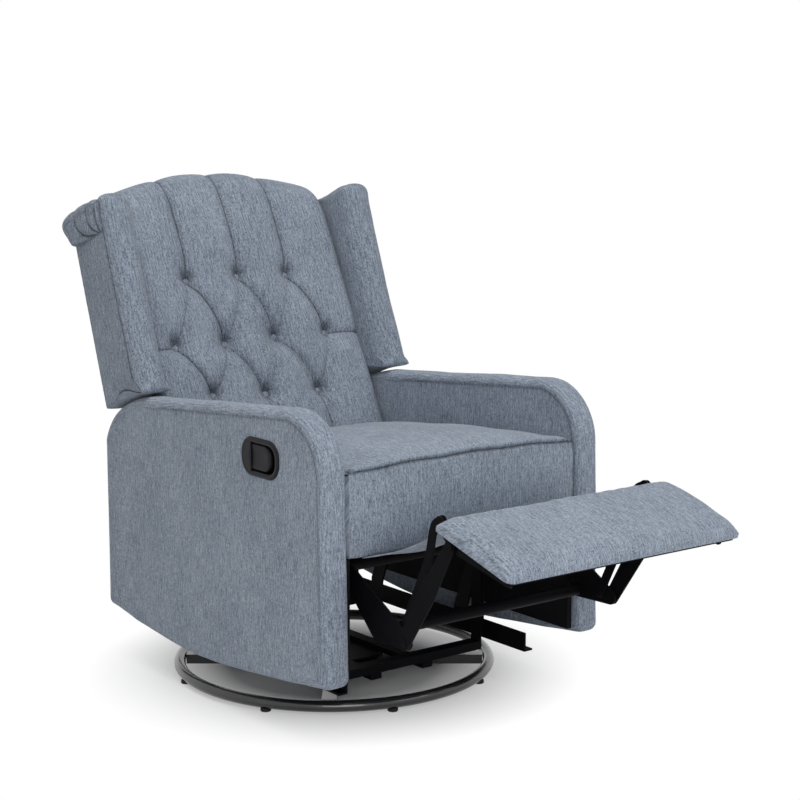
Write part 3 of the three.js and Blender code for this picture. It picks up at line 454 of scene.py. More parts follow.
def heathered_weave():
    """Shader group for the cloth. Two fine noises, drawn out a little along the grain,
    longer slubs and a broad blotch move a colour between the deep and the pale yarn. The
    peaks of one more noise are dark flecks, and a fold value mixes in painted shade at
    seams, pleats and button pits. The height is the crossing of fine threads."""
    group = bpy.data.node_groups.new("heathered weave", "ShaderNodeTree")
    face = group.interface
    for name, kind in (("Grain", "NodeSocketVector"), ("Deep yarn", "NodeSocketColor"),
                       ("Pale yarn", "NodeSocketColor"), ("Painted shade", "NodeSocketFloat")):
        face.new_socket(name=name, in_out="INPUT", socket_type=kind)
    for name, kind in (("Colour", "NodeSocketColor"), ("Height", "NodeSocketFloat")):
        face.new_socket(name=name, in_out="OUTPUT", socket_type=kind)
    given = wire(group, "NodeGroupInput").outputs
    result = wire(group, "NodeGroupOutput")
    total = None
    streaks = (((360, 120, 1), 2.0, 0.95), ((620, 240, 1), 1.0, 0.80),
               ((290, 30, 1), 2.0, 1.00), ((11, 5, 1), 3.0, 0.32))
    for stretch, detail, weight in streaks:
        drawn = wire(group, "ShaderNodeVectorMath", {0: given["Grain"], 1: stretch},
                     operation="MULTIPLY")
        noise = wire(group, "ShaderNodeTexNoise", {
            "Vector": drawn.outputs[0], "Scale": 1.0, "Detail": detail, "Roughness": 0.6},
            noise_dimensions="2D")
        total = wire(group, "ShaderNodeMath", {
            0: noise.outputs["Fac"], 1: weight, 2: 0.0 if total is None else total},
            operation="MULTIPLY_ADD").outputs[0]
    middle = sum(weight for _, _, weight in streaks) / 2
    mix = wire(group, "ShaderNodeMapRange", {
        "Value": total, "From Min": middle - 0.42, "From Max": middle + 0.42})
    colour = wire(group, "ShaderNodeMix", {
        "Factor": mix.outputs["Result"], "A": given["Deep yarn"], "B": given["Pale yarn"]},
        data_type="RGBA")
    drawn = wire(group, "ShaderNodeVectorMath", {0: given["Grain"], 1: (410, 230, 1)},
                 operation="MULTIPLY")
    flecks = wire(group, "ShaderNodeTexNoise", {
        "Vector": drawn.outputs[0], "Scale": 1.0, "Detail": 1.0}, noise_dimensions="2D")
    flecks = wire(group, "ShaderNodeMapRange", {
        "Value": flecks.outputs["Fac"], "From Min": 0.60, "From Max": 0.72, "To Max": 0.45})
    # Dark flecks of the yarn plus the painted shade of folds, mixed towards the shade colour.
    dark = wire(group, "ShaderNodeMath", {0: flecks.outputs["Result"], 1: given["Painted shade"]},
                operation="ADD", use_clamp=True)
    colour = wire(group, "ShaderNodeMix", {
        "Factor": dark.outputs[0], "A": colour.outputs["Result"], "B": painted_shade_colour},
        data_type="RGBA")
    group.links.new(colour.outputs["Result"], result.inputs["Colour"])
    height = None
    for turn in (0, 1):
        bands = wire(group, "ShaderNodeTexWave", {
            "Vector": given["Grain"], "Scale": 190.0, "Distortion": 2.0, "Detail": 1.0,
            "Detail Scale": 2.0}, bands_direction="XY"[turn])
        height = bands.outputs["Fac"] if height is None else wire(
            group, "ShaderNodeMath", {0: height, 1: bands.outputs["Fac"]},
            operation="MULTIPLY").outputs[0]
    height = wire(group, "ShaderNodeMath", {0: mix.outputs["Result"], 1: 0.6, 2: height},
                  operation="MULTIPLY_ADD")
    group.links.new(height.outputs[0], result.inputs["Height"])
    return group


cloth, tree, shader = material_tree("heathered blue grey cloth")
deep_yarn = (0.100, 0.130, 0.176, 1)
pale_yarn = (0.365, 0.415, 0.485, 1)
used = wire(tree, "ShaderNodeGroup", node_tree=heathered_weave())
grain_map = wire(tree, "ShaderNodeUVMap", uv_map="grain")
tree.links.new(grain_map.outputs["UV"], used.inputs["Grain"])
fold_map = wire(tree, "ShaderNodeUVMap", uv_map="fold")
fold_value = wire(tree, "ShaderNodeSeparateXYZ", {0: fold_map.outputs["UV"]})
tree.links.new(fold_value.outputs["X"], used.inputs["Painted shade"])
used.inputs["Deep yarn"].default_value = deep_yarn
used.inputs["Pale yarn"].default_value = pale_yarn
relief = wire(tree, "ShaderNodeBump", {
    "Height": used.outputs["Height"], "Strength": 0.35, "Distance": 0.0006})
tree.links.new(used.outputs["Colour"], shader.inputs["Base Color"])
tree.links.new(relief.outputs["Normal"], shader.inputs["Normal"])
shader.inputs["Roughness"].default_value = 0.92
shader.inputs["Specular IOR Level"].default_value = 0.25
shader.inputs["Sheen Weight"].default_value = 0.12
shader.inputs["Sheen Roughness"].default_value = 0.5


def waves(points, length, seed):
    """Soft hand-made unevenness from -1 to 1: a mean of seven sines of the place along
    fixed ways, each about one length from crest to crest."""
    draw = np.random.default_rng(seed)
    way = draw.normal(size=(7, 3))
    way *= (2 * math.pi / length) / np.linalg.norm(way, axis=1, keepdims=True)
    way *= draw.uniform(0.6, 1.5, (7, 1))
    shift = draw.uniform(0, 2 * math.pi, 7)
    return np.sin(points @ way.T + shift).mean(-1) * 1.6


def bell(distance, width):
    """A soft bump: one at no distance, falling with the square of distance over width."""
    return np.exp(-(distance / width) ** 2)


def along(line):
    """Distance run along a line of points, from its first."""
    steps = np.linalg.norm(np.diff(line, axis=0), axis=1)
    return np.concatenate([[0], np.cumsum(steps)])


def even(line, count):
    """A line of points walked again in equal steps."""
    run = along(line)
    at = np.linspace(0, run[-1], count)
    return np.stack([np.interp(at, run, line[:, k]) for k in range(line.shape[1])], -1)


def corner(first, turn, last, count=9):
    """A quadratic bend from first to last that heads for turn."""
    t = np.linspace(0, 1, count)[:, None]
    first, turn, last = (np.array(p, float) for p in (first, turn, last))
    return (1 - t) ** 2 * first + 2 * t * (1 - t) * turn + t ** 2 * last


shoulder_middle, shoulder_half = (-0.328, 0.518), (0.122, 0.120)
arm_top_slope = math.atan(0.044 / 0.528)


def arm_outline(count):
    """The arm's closed outline in the side view, from the middle of its foot forward and
    up: an upright front, a shoulder that is a quarter of an ellipse, a sloping top and a
    rounded rear."""
    swing = np.linspace(math.pi, math.pi / 2 - arm_top_slope, 22)
    shoulder = np.stack([shoulder_middle[0] + shoulder_half[0] * np.cos(swing),
                         shoulder_middle[1] + shoulder_half[1] * np.sin(swing)], -1)
    line = np.concatenate([
        [(0, 0.084)], corner((-0.06, 0.086), (-0.110, 0.088), (-0.16, 0.0935)),
        corner((-0.443, 0.1226), (-0.4598, 0.125), (-0.4592, 0.141)), shoulder,
        corner((0.200, 0.594), (0.335, 0.572), (0.372, 0.485), 24),
        corner((0.372, 0.128), (0.372, 0.113), (0.357, 0.1115)),
        corner((0.14, 0.0905), (0.092, 0.086), (0.05, 0.085)), [(0, 0.084)]])
    return even(line, count)


def padded_slab(line, axis, soft, near, far, inset, square, seed, slack=0.0016,
                puckers=0.0005, seamed=(1.0, 1.0), shown=1.0):
    """The grids, grains and folds of a padded slab: a band round its edge, between two
    panels. Each point stands inset from the outline (y, z) towards its place on an axis
    inside it. Across the band, the distance from the slab's middle plane follows a cosine
    and the inset one minus a sine, both to powers below one, for a soft square section.
    Where soft is low the band is drawn flat. At the seams the cloth sinks in a groove that
    eases off as an exponential, puckered by its stitches. X runs from near to far. Seamed
    says how much of a seam there is at the edge of greater X and at the other; with none,
    band and panel run on smoothly. Shown says how plain it is at each outline point."""
    count = len(line)
    run = along(line)
    way = axis - line
    span_in = np.linalg.norm(way, axis=1, keepdims=True)
    way /= span_in
    step = np.gradient(line, axis=0)
    step /= np.linalg.norm(step, axis=1, keepdims=True)
    facing = np.abs(way[:, 0] * step[:, 1] - way[:, 1] * step[:, 0])
    stretch = (soft / np.maximum(facing, 0.72))[:, None]
    middle, half = (near + far) / 2, abs(far - near) / 2

    def ring(offset, depth):
        """One line round the band, off the middle plane and in from the outline."""
        flat = line + np.minimum(depth * stretch, span_in * 0.98) * way
        return np.concatenate([np.full((count, 1), middle + offset), flat], 1)

    swing = np.linspace(0, math.pi, 41)
    band_x = half * np.sign(np.cos(swing)) * np.abs(np.cos(swing)) ** square
    band_in = inset * (1 - np.sin(swing) ** (square + 0.1))
    band = np.stack([ring(x, d) for x, d in zip(band_x, band_in)])
    face = np.sign(band_x)[:, None]
    sewn = np.where(face > 0, *seamed) * shown
    depth = np.zeros(len(swing))
    depth[[0, 1, -2, -1]] = seam_sink, seam_shoulder, seam_shoulder, seam_sink
    band[:, :, 0] -= face * depth[:, None] * sewn
    pucker = (puckers * np.sin(run * 2 * math.pi / stitch_pitch)
              + puckers * waves(band[0], 0.05, seed))
    band[:, :, 0] += sewn * face * pucker * np.exp(
        -np.minimum(swing, math.pi - swing) / 0.30)[:, None]
    ease = slack * waves(band, 0.19, seed + 1) + 0.4 * slack * waves(band, 0.06, seed + 2)
    band[:, :, 1:] -= (ease * np.sin(swing)[:, None])[:, :, None] * way
    across = np.concatenate([[0], np.cumsum(np.hypot(np.diff(band_x), np.diff(band_in)))])
    seam_away = np.minimum(across, across[-1] - across)
    grids = [band]
    grains = [np.stack(np.broadcast_arrays(across[:, None], run[None, :]), -1)]
    # The folds are painted shade along both seams, darkest at the seam itself.
    folds = [seam_shade * sewn * np.exp(-seam_away / seam_width)[:, None] + 0 * run]
    for row, face, sewn in zip((0, -1), (1, -1), seamed):
        sewn = sewn * shown
        edge = band[row]
        shares = np.concatenate([[0, 0.02, 0.05], np.linspace(0.09, 1, 46)])
        heart = np.concatenate([edge[:, :1], axis], 1)
        panel = edge + shares[:, None, None] * (heart - edge)
        deep = np.linalg.norm(panel[:, :, 1:] - edge[None, :, 1:], axis=-1)
        rise = sewn * seam_sink * (1 - np.exp(-deep / 0.0035))
        rise += panel_swell * (1 - bell(deep, 0.09))
        rise += (0.0010 * waves(panel, 0.23, seed + 3)
                 + 0.0004 * waves(panel, 0.07, seed + 4)) * (1 - bell(deep, 0.03))
        rise += sewn * pucker[None, :] * np.exp(-deep / 0.008)
        panel[:, :, 0] = middle + face * (half - panel_sink * sewn + rise)
        panel[0] = edge
        panel[-1, :, 0] = panel[-1, :, 0].mean()
        grids.append(panel)
        grains.append(panel[:, :, 1:] + np.array([0.31 * face, 0.17]))
        # Painted shade along the seam on the panel.
        folds.append(seam_shade * sewn * np.exp(-deep / seam_width))
    return grids, grains, folds


def ramp(value, start, end):
    """Nought at the start, one at the end, straight between them and level past them."""
    return np.clip((value - start) / (end - start), 0, 1)


# The cover is stapled flat under the arm, and its seams, with their groove and painted shade, are
# plainest in front and above.
arm_axis_front, arm_axis_rear, arm_axis_height = -0.26, 0.20, 0.345
arms = {}
for seed, (name, side) in enumerate(sides.items()):
    line = arm_outline(361)
    axis = np.stack([np.clip(line[:, 0], arm_axis_front, arm_axis_rear),
                     np.full(len(line), arm_axis_height)], -1)
    underneath = ramp(line[:, 1], 0.16, 0.11) * ramp(np.abs(line[:, 0] + 0.05), 0.38, 0.30)
    plain = ramp(line[:, 0], 0.20, 0.08) * ramp(line[:, 1], 0.12, 0.32)
    given = padded_slab(line, axis, 1 - 0.75 * underneath, side * arm_inner,
                        side * arm_outer, arm_roll, arm_squareness, 10 + 10 * seed,
                        shown=0.08 + 0.47 * plain)
    arms[name] = shell(f"padded_arm_{name}", *given)
    dress(arms[name], cloth, "seat", "upholstery", f"arm_{name}")


# Handle. A moulded cup set through the outer panel of the sitter's right arm with its lip
# on the cloth, and an upright paddle in it that hinges on a barrel near its rear end.
(handle_y, handle_z), lip_half = side_view("handle_bezel")
lip_corner = 0.034
lip_width = 0.007
lip_proud = 0.004
lip_round = 0.0028
cup_depth = 0.028
cup_wall = 0.003
cup_break = 0.002


def rounded_slab(half, radius):
    """A rectangle with round corners about the handle's middle, as y and z: quarter rounds
    joined by straight stretches."""
    quarter = np.linspace(0, math.pi / 2, 25)
    line = []
    for turn, (a, b) in enumerate(((1, 1), (-1, 1), (-1, -1), (1, -1))):
        angle = quarter + turn * math.pi / 2
        line.append(np.stack([handle_y + a * (half[0] - radius) + radius * np.cos(angle),
                              handle_z + b * (half[1] - radius) + radius * np.sin(angle)], -1))
    line = np.concatenate(line)
    return np.concatenate([line, line[:1]])


def slab_rows(steps, shift=0.0):
    """Rows of rounded slabs, each given its X, its two half sizes and its corner radius.
    A half size of none closes the row on the middle."""
    outline = [(np.array([[handle_y, handle_z]]) if half is None else rounded_slab(half, radius))
               for _, half, radius in steps]
    grid = np.zeros((len(steps), max(map(len, outline)), 3))
    for row, (step, line) in enumerate(zip(steps, outline)):
        grid[row, :, 0] = step[0]
        grid[row, :, 1:] = line
    grid[:, :, 1] += shift
    return grid


def shrink(half, by):
    """A pair of half sizes, each less by the same."""
    return (half[0] - by, half[1] - by)


face_x = -arm_outer
cup_half = shrink(lip_half, lip_width)
cup_corner = lip_corner - lip_width
inner_half = shrink(cup_half, cup_wall)
inner_corner = cup_corner - cup_wall
cup_back = face_x + cup_depth
cup_floor = cup_back - cup_wall
bezel_steps = [
    (cup_back, None, 0),
    (cup_back, shrink(cup_half, cup_break), cup_corner - cup_break),
    (cup_back - cup_break, cup_half, cup_corner),
    (face_x + 0.002, cup_half, cup_corner),
    (face_x + 0.001, lip_half, lip_corner),
    (face_x - 0.0012, lip_half, lip_corner),
    (face_x - lip_round, shrink(lip_half, 0.0008), lip_corner - 0.0008),
    (face_x - lip_proud, shrink(lip_half, lip_round), lip_corner - lip_round),
    (face_x - lip_proud, shrink(inner_half, -cup_break), inner_corner + cup_break),
    (face_x - lip_proud + 0.0015, inner_half, inner_corner),
    (cup_floor - 0.004, inner_half, inner_corner),
    (cup_floor, shrink(inner_half, 0.004), inner_corner - 0.004),
    (cup_floor, None, 0)]

# A fixed cover closes the rear of the cup, behind the hinge.
cover_edge = handle_y + 0.0277
cover_overlap = 0.001
cover_line = rounded_slab(shrink(inner_half, -cover_overlap), inner_corner + cover_overlap)
cover_line[:, 0] = np.maximum(cover_line[:, 0], cover_edge)
cover_middle = np.array([[handle_y + 0.038, handle_z]])
cover_rows = [(-lip_proud + 0.0014, cover_middle), (-lip_proud + 0.0014, cover_line),
              (-lip_proud + 0.0003, cover_line), (-lip_proud, cover_line + [0.0004, 0]),
              (-lip_proud, cover_middle)]
hinge_cover = np.stack([np.concatenate([np.full((len(cover_line), 1), face_x + x),
                                        np.broadcast_to(line, cover_line.shape)], 1)
                        for x, line in cover_rows])
dress(shell("handle_cup", [slab_rows(bezel_steps), hinge_cover], crease=40), black_plastic,
      "seat", "black_plastic", "handle_bezel")

# The arm's outer panel is cut open for the cup.
pocket_half = shrink(cup_half, -0.0015)
pocket_mouth, pocket_floor = face_x - 0.02, cup_back + 0.0004
pocket = shell("arm_pocket", [slab_rows([
    (pocket_mouth, None, 0), (pocket_mouth, pocket_half, cup_corner),
    (pocket_floor, pocket_half, cup_corner), (pocket_floor, None, 0)])])
sink = arms["right"].modifiers.new("pocket", "BOOLEAN")
sink.object = pocket
sink.operation = "DIFFERENCE"
sink.solver = "EXACT"
bpy.context.view_layer.update()
carved = bpy.data.meshes.new_from_object(
    arms["right"].evaluated_get(bpy.context.evaluated_depsgraph_get()))
arms["right"].modifiers.clear()
arms["right"].data = carved
bpy.data.objects.remove(pocket)

paddle_half = (0.042, 0.025)
paddle_corner = 0.020
paddle_rear = inner_half[0] - 0.003
paddle_shift = paddle_rear - paddle_half[0]
paddle_front = face_x - lip_proud / 2
paddle_back = paddle_front + 0.009
paddle_dish, paddle_dish_rim = 0.0018, 0.012
paddle_steps = [
    (paddle_back, None, 0),
    (paddle_back, shrink(paddle_half, cup_break), paddle_corner - cup_break),
    (paddle_back - cup_break, paddle_half, paddle_corner),
    (paddle_front + 0.0025, paddle_half, paddle_corner),
    (paddle_front + 0.0008, shrink(paddle_half, 0.0010), paddle_corner - 0.001),
    (paddle_front, shrink(paddle_half, lip_round), paddle_corner - lip_round),
    (paddle_front + 0.0012, shrink(paddle_half, paddle_dish_rim),
     paddle_corner - paddle_dish_rim),
    (paddle_front + paddle_dish, None, 0)]
barrel_radius = 0.004
barrel_half = inner_half[1] - 0.0004
barrel_place = (paddle_back, handle_y + inner_half[0] - 0.028, handle_z)
barrel = turned([(0, -barrel_half), (barrel_radius, -barrel_half),
                 (barrel_radius, barrel_half), (0, barrel_half)], barrel_place, 2, 24)
dress(shell("pull_paddle", [slab_rows(paddle_steps, paddle_shift), barrel], crease=40),
      black_plastic, "handle", "black_plastic", "handle_paddle")


# Seat frame. Wooden rails screwed across the side plates, with zigzag springs of hard
# drawn wire hooked between them under the cushion.
def sawn_wood():
    """Raw beech: bands of a wave, bent by noise and drawn out along X, tint the timber."""
    material, tree, shader = material_tree("sawn beech")
    place = wire(tree, "ShaderNodeTexCoord").outputs["Object"]
    drawn = wire(tree, "ShaderNodeMapping", {"Vector": place, "Scale": (1.5, 22.0, 22.0)})
    rings = wire(tree, "ShaderNodeTexWave", {
        "Vector": drawn.outputs["Vector"], "Scale": 2.2, "Distortion": 9.0, "Detail": 3.0,
        "Detail Scale": 1.6}, bands_direction="Z")
    pores = wire(tree, "ShaderNodeTexNoise", {
        "Vector": drawn.outputs["Vector"], "Scale": 14.0, "Detail": 4.0})
    tone = wire(tree, "ShaderNodeMix", {
        "Factor": rings.outputs["Fac"], "A": (0.36, 0.22, 0.11, 1), "B": (0.54, 0.36, 0.19, 1)},
        data_type="RGBA")
    relief = wire(tree, "ShaderNodeBump", {
        "Height": pores.outputs["Fac"], "Strength": 0.2, "Distance": 0.0008})
    rough = wire(tree, "ShaderNodeMapRange", {
        "Value": pores.outputs["Fac"], "To Min": 0.6, "To Max": 0.85})
    tree.links.new(tone.outputs["Result"], shader.inputs["Base Color"])
    tree.links.new(rough.outputs["Result"], shader.inputs["Roughness"])
    tree.links.new(relief.outputs["Normal"], shader.inputs["Normal"])
    return material


beech = sawn_wood()
spring_wire = hard_finish("drawn spring wire", (0.16, 0.165, 0.175), (0.10, 0.07, 0.05),
                          dustiness=0.35, polish=0.30, metal=0.9)
repaint(beech, "seat_rail_front", "seat_rail_rear")
repaint(spring_wire, "seat_spring_1", "seat_spring_2", "seat_spring_3")


# Seat cushion. A foam block in a boxed cover: a crowned top panel sewn to a tall front
# panel along a plain seam at the top front edge. The cover swells between its seams.
(_, _, seat_low), (seat_half, seat_end, _) = extent("seat_cushion")
seat_front = -0.449
seat_deck = 0.392
seat_deck_rear = 0.152
seat_lip_rear = -0.4153
seat_seam = 0.526
seat_seam_front = -0.425
seat_rear = (seat_end, 0.478)
seat_crown = 0.026
seat_side_draw = 0.004
seat_front_swell = 0.008
seam_bow, seam_roll = 0.009, 0.007
seam_waver, seam_waver_rate = 0.0011, 41
swell_frames = 20
swell_smoothing = 6


def seam_height(x):
    """Height of the front seam: a shallow parabola across, with a little waviness."""
    x = np.asarray(x, float)
    waver = seam_waver * np.sin(x * seam_waver_rate + 1.0)
    return seat_seam + seam_bow * (1 - (x / seat_half) ** 2) + waver


def seat_ring(x, shrink):
    """The cushion's closed side view at one station, closest set near the seam. The top
    follows a line from the seam to the rear edge, raised by the crown times a power of a
    sine along it and a falling power across it; the front swells by a sine of its height."""
    edge = min(1.0, abs(x) / seat_half)
    lift = (1 - edge ** 5) ** 0.6
    front = seat_front + shrink + seat_side_draw * (1 - lift)
    t = np.linspace(0, 1, 90) ** 1.6
    y = front + (seat_rear[0] - shrink - front) * t
    seam_z = float(seam_height(x)) + seam_roll * lift
    z = seam_z + (seat_rear[1] - seam_z) * t - shrink * 0.4
    arch = np.sin(math.pi * np.minimum(1, t + 0.025)) ** 0.45
    z = z + (seat_crown - shrink * 0.5) * lift * arch
    drop = np.concatenate([np.linspace(0, 0.16, 26)[1:], np.linspace(0.18, 1, 26)])
    face_z = z[0] + (seat_low + shrink * 0.3 - z[0]) * drop
    face_y = front - seat_front_swell * np.sin(math.pi * drop) * lift
    under = np.array([(seat_lip_rear, seat_low + shrink * 0.3), (seat_lip_rear, seat_deck),
                      (seat_deck_rear, seat_deck)])
    ring = np.concatenate([np.stack([y, z], -1)[::-1], np.stack([face_y, face_z], -1), under])
    ring = np.concatenate([ring, ring[:1]])
    return np.concatenate([np.full((len(ring), 1), x), ring], 1)


def numbers(count, read, key):
    """Reads the count places or ways of a mesh's points as rows of three."""
    flat = np.zeros(count * 3, np.float32)
    read(key, flat)
    return flat.reshape(-1, 3).astype(float)


def swollen(piece, voxel, held, pressure, cap):
    """Lets a padded cover swell. The form is remeshed in even cells, the held points are
    pinned, and cloth under inner pressure runs without gravity. No point moves further
    than the cap. One subdivision then rounds it."""
    cells = piece.modifiers.new("cells", "REMESH")
    cells.mode = "VOXEL"
    cells.voxel_size = voxel
    bpy.context.view_layer.update()
    mesh = bpy.data.meshes.new_from_object(
        piece.evaluated_get(bpy.context.evaluated_depsgraph_get()))
    piece.modifiers.clear()
    piece.data = mesh
    start = numbers(len(mesh.vertices), mesh.vertices.foreach_get, "co")
    weights = held(start)
    group = piece.vertex_groups.new(name="held")
    for index in np.flatnonzero(weights > 0.02):
        group.add([int(index)], float(min(1.0, weights[index])), "REPLACE")
    cover = piece.modifiers.new("cover", "CLOTH")
    for key, value in {
            "quality": 4, "mass": 0.25, "tension_stiffness": 18,
            "compression_stiffness": 18, "shear_stiffness": 8, "bending_stiffness": 0.6,
            "use_pressure": True, "uniform_pressure_force": pressure,
            "vertex_group_mass": "held"}.items():
        setattr(cover.settings, key, value)
    cover.settings.effector_weights.gravity = 0
    cover.point_cache.frame_start = 1
    cover.point_cache.frame_end = swell_frames
    for frame_number in range(1, swell_frames + 1):
        scene.frame_set(frame_number)
    done = piece.evaluated_get(bpy.context.evaluated_depsgraph_get()).to_mesh()
    end = numbers(len(start), done.vertices.foreach_get, "co")
    piece.modifiers.clear()
    piece.vertex_groups.clear()
    scene.frame_set(1)
    move = end - start
    far = np.linalg.norm(move, axis=1, keepdims=True)
    start = start + move * np.minimum(1, cap / np.maximum(far, 1e-9))
    mesh.vertices.foreach_set("co", start.astype(np.float32).ravel())
    round_off = piece.modifiers.new("round", "SUBSURF")
    round_off.levels = round_off.render_levels = 1
    bpy.context.view_layer.update()
    piece.data = bpy.data.meshes.new_from_object(
        piece.evaluated_get(bpy.context.evaluated_depsgraph_get()))
    piece.modifiers.clear()
    piece.data.shade_smooth()


def finish_cover(piece, change, grain, fold):
    """Moves a finished cover's points by a change (of points and outward normals) and lays
    the cloth's grain and the shade of its folds on it by formulas of its points."""
    mesh = piece.data
    count = len(mesh.vertices)
    normals = numbers(count, mesh.vertex_normals.foreach_get, "vector")
    points = change(numbers(count, mesh.vertices.foreach_get, "co"), normals)
    mesh.vertices.foreach_set("co", points.astype(np.float32).ravel())
    corners = np.zeros(len(mesh.loops), np.int32)
    mesh.loops.foreach_get("vertex_index", corners)
    for layer_name, formula in (("grain", grain), ("fold", fold)):
        layer = mesh.uv_layers.new(name=layer_name)
        layer.data.foreach_set("uv", formula(points)[corners].astype(np.float32).ravel())
    mesh.update()


def closed(grid):
    """The grid with its first and last row each closed on the row's mean point."""
    poles = [np.broadcast_to(grid[k].mean(0), grid[k].shape) for k in (0, -1)]
    return np.stack([poles[0], *grid, poles[1]])


seat_stations = seat_half * np.sin(np.linspace(-1, 1, 61) * math.pi / 2)
seat_shrink = 0.004
seat_stations = seat_stations * (1 - seat_shrink / seat_half)
seat_grid = closed([seat_ring(x, seat_shrink) for x in seat_stations])
swelling = shell("seat_swelling", [seat_grid])


def seat_seam_distance(points):
    """Distance from the seam along the cushion's top front edge, in the side view."""
    return np.hypot(np.clip(points[:, 1] - seat_seam_front, 0, None),
                    points[:, 2] - seam_height(points[:, 0]))


def seat_held(points):
    """One where the cover is sewn or stapled down: by a bell of the distance from the
    seam, and over the deck, the lower lip, both sides and the rear."""
    deck = (points[:, 2] < seat_deck + 0.012) * (points[:, 1] > -0.41) * 1.0
    lip = (points[:, 2] < seat_low + 0.012) * 1.0
    edges = (np.abs(points[:, 0]) > seat_half - 0.009) * 1.0
    rear = (points[:, 1] > 0.145) * 1.0
    return np.maximum.reduce([bell(seat_seam_distance(points), 0.008), deck, lip, edges, rear])


swollen(swelling, voxel=0.007, held=seat_held, pressure=4.0, cap=0.009)

# The swollen form is even in its cells, so the even move from the first form to it is
# carried over to the first form's own grid, which keeps its close rows beside the seam.
form = BVHTree.FromPolygons(
    [vertex.co.copy() for vertex in swelling.data.vertices],
    [list(face.vertices) for face in swelling.data.polygons])
found = [form.find_nearest(Vector(point))[0] for point in seat_grid.reshape(-1, 3)]
carried = np.array(found).reshape(seat_grid.shape) - seat_grid
for _ in range(swell_smoothing):
    level = carried[:, :-1]
    level = (2 * level + np.roll(level, 1, 1) + np.roll(level, -1, 1)) / 4
    level[1:-1] = (2 * level[1:-1] + level[:-2] + level[2:]) / 4
    carried = np.concatenate([level, level[:, :1]], 1)
carried[0], carried[-1] = carried[0].mean(0), carried[-1].mean(0)
bpy.data.objects.remove(swelling)
seat = shell("seat_cushion_cover", [seat_grid + carried])


seat_groove, seat_groove_width = 0.0045, 0.0035
seat_lip, seat_lip_width = 0.0022, 0.005
seat_stitch_pitch = 0.019
seat_seam_width = 0.0021


def seat_finish(points, normals):
    """Sinks the seam by a narrow bell of its distance, raises a lip just above it, and
    adds stitch puckers and soft unevenness to the two panels."""
    away = seat_seam_distance(points)
    groove = bell(away, seat_groove_width)
    lip = bell(away - seam_roll, seat_lip_width) * (points[:, 2] > seam_height(points[:, 0]))
    pucker = np.sin(points[:, 0] * 2 * math.pi / seat_stitch_pitch) + waves(points, 0.05, 41)
    move = -seat_groove * groove + seat_lip * lip + 0.0006 * pucker * np.exp(-away / 0.012)
    move += 0.0016 * waves(points, 0.21, 42) + 0.0007 * waves(points, 0.075, 43)
    return points + normals * move[:, None]


def seat_fold(points):
    """The seam's painted shade, by the exponential of its distance from the seam, and a
    painted shade that grows with the square of a fall towards the foot of the front
    panel."""
    shade = 1.3 * seam_shade * np.exp(-seat_seam_distance(points) / seat_seam_width)
    # Painted shade towards the foot of the front panel.
    foot = ramp(points[:, 2], 0.50, 0.37) * (points[:, 1] < -0.40)
    shade = np.maximum(shade, 0.30 * foot ** 2)
    return np.stack([shade, 0 * shade], -1)


def seat_grain(points):
    """The cloth's place: across the seat, and the way over its top and down its front."""
    return np.stack([points[:, 0], points[:, 1] + points[:, 2]], -1)


finish_cover(seat, seat_finish, seat_grain, seat_fold)
dress(seat, cloth, "seat", "upholstery", "seat_cushion")


# Wings. Upright padded sides of the back, each with a tube-like front band between the
# outer side panel and the inner face. They lean with the back and flare at the foot.
back_lean = math.radians(19.4)
recline_place = (0.285, 0.420)
wing_inner, wing_outer = (place[0] for place in extent("wing_left"))
wing_seam_front = -0.116
wing_crown = 0.030
wing_flare = 0.019
flare_height = 0.430
wing_foot_front, wing_foot_middle, wing_foot_rear = 0.142, 0.151, 0.138
wing_top = 0.586
wing_squareness = 0.90
wing_axis_y, wing_axis_low, wing_axis_high = -0.055, 0.215, 0.525
hollow_depth, hollow_y, hollow_width = 0.011, -0.088, 0.042
tuck_depth, tuck_height, tuck_y, tuck_ease = 0.016, 0.503, -0.118, 0.012
back_rear = 0.016
# An even floor of painted shade over the back's cloth: wings, roll ends and tufted cover.
back_painted_shade = 0.13


def leaned(grid):
    """The back's own place (x, local y, local height) as a place of the chair: turned back
    by the lean about the recline pins."""
    y, z = grid[..., 1], grid[..., 2]
    c, s = math.cos(back_lean), math.sin(back_lean)
    return np.stack([grid[..., 0], recline_place[0] + y * c + z * s,
                     recline_place[1] - y * s + z * c], -1)


def wing_front(z):
    """Y of the band's crown: straight above, a square-law flare forward below."""
    flare = np.clip((flare_height - z) / (flare_height - wing_foot_front), 0, None) ** 2
    return wing_seam_front - wing_crown - wing_flare * flare


def wing_line(count):
    """The wing's closed outline in the back's side view, from the low rear forward."""
    z = np.linspace(wing_foot_front + 0.016, wing_top - 0.030, 40)
    front = np.stack([wing_front(z), z], -1)
    foot_y = wing_front(wing_foot_front)
    crown_y = wing_front(wing_top)
    line = np.concatenate([
        [(back_rear, 0.250)], corner((back_rear, wing_foot_rear + 0.012),
                                     (back_rear, wing_foot_rear), (0.004, wing_foot_rear + 0.001)),
        corner((0.002, wing_foot_rear + 0.001), (-0.065, wing_foot_middle),
               (foot_y + 0.018, wing_foot_front - 0.0012), 12),
        corner((foot_y + 0.016, wing_foot_front - 0.0015), (foot_y, wing_foot_front), front[0]),
        front[1:], corner(front[-1], (crown_y, wing_top), (crown_y + 0.032, wing_top), 14),
        corner((back_rear - 0.012, wing_top - 0.002), (back_rear, wing_top - 0.004),
               (back_rear, wing_top - 0.016)), [(back_rear, 0.250)]])
    return even(line, count)


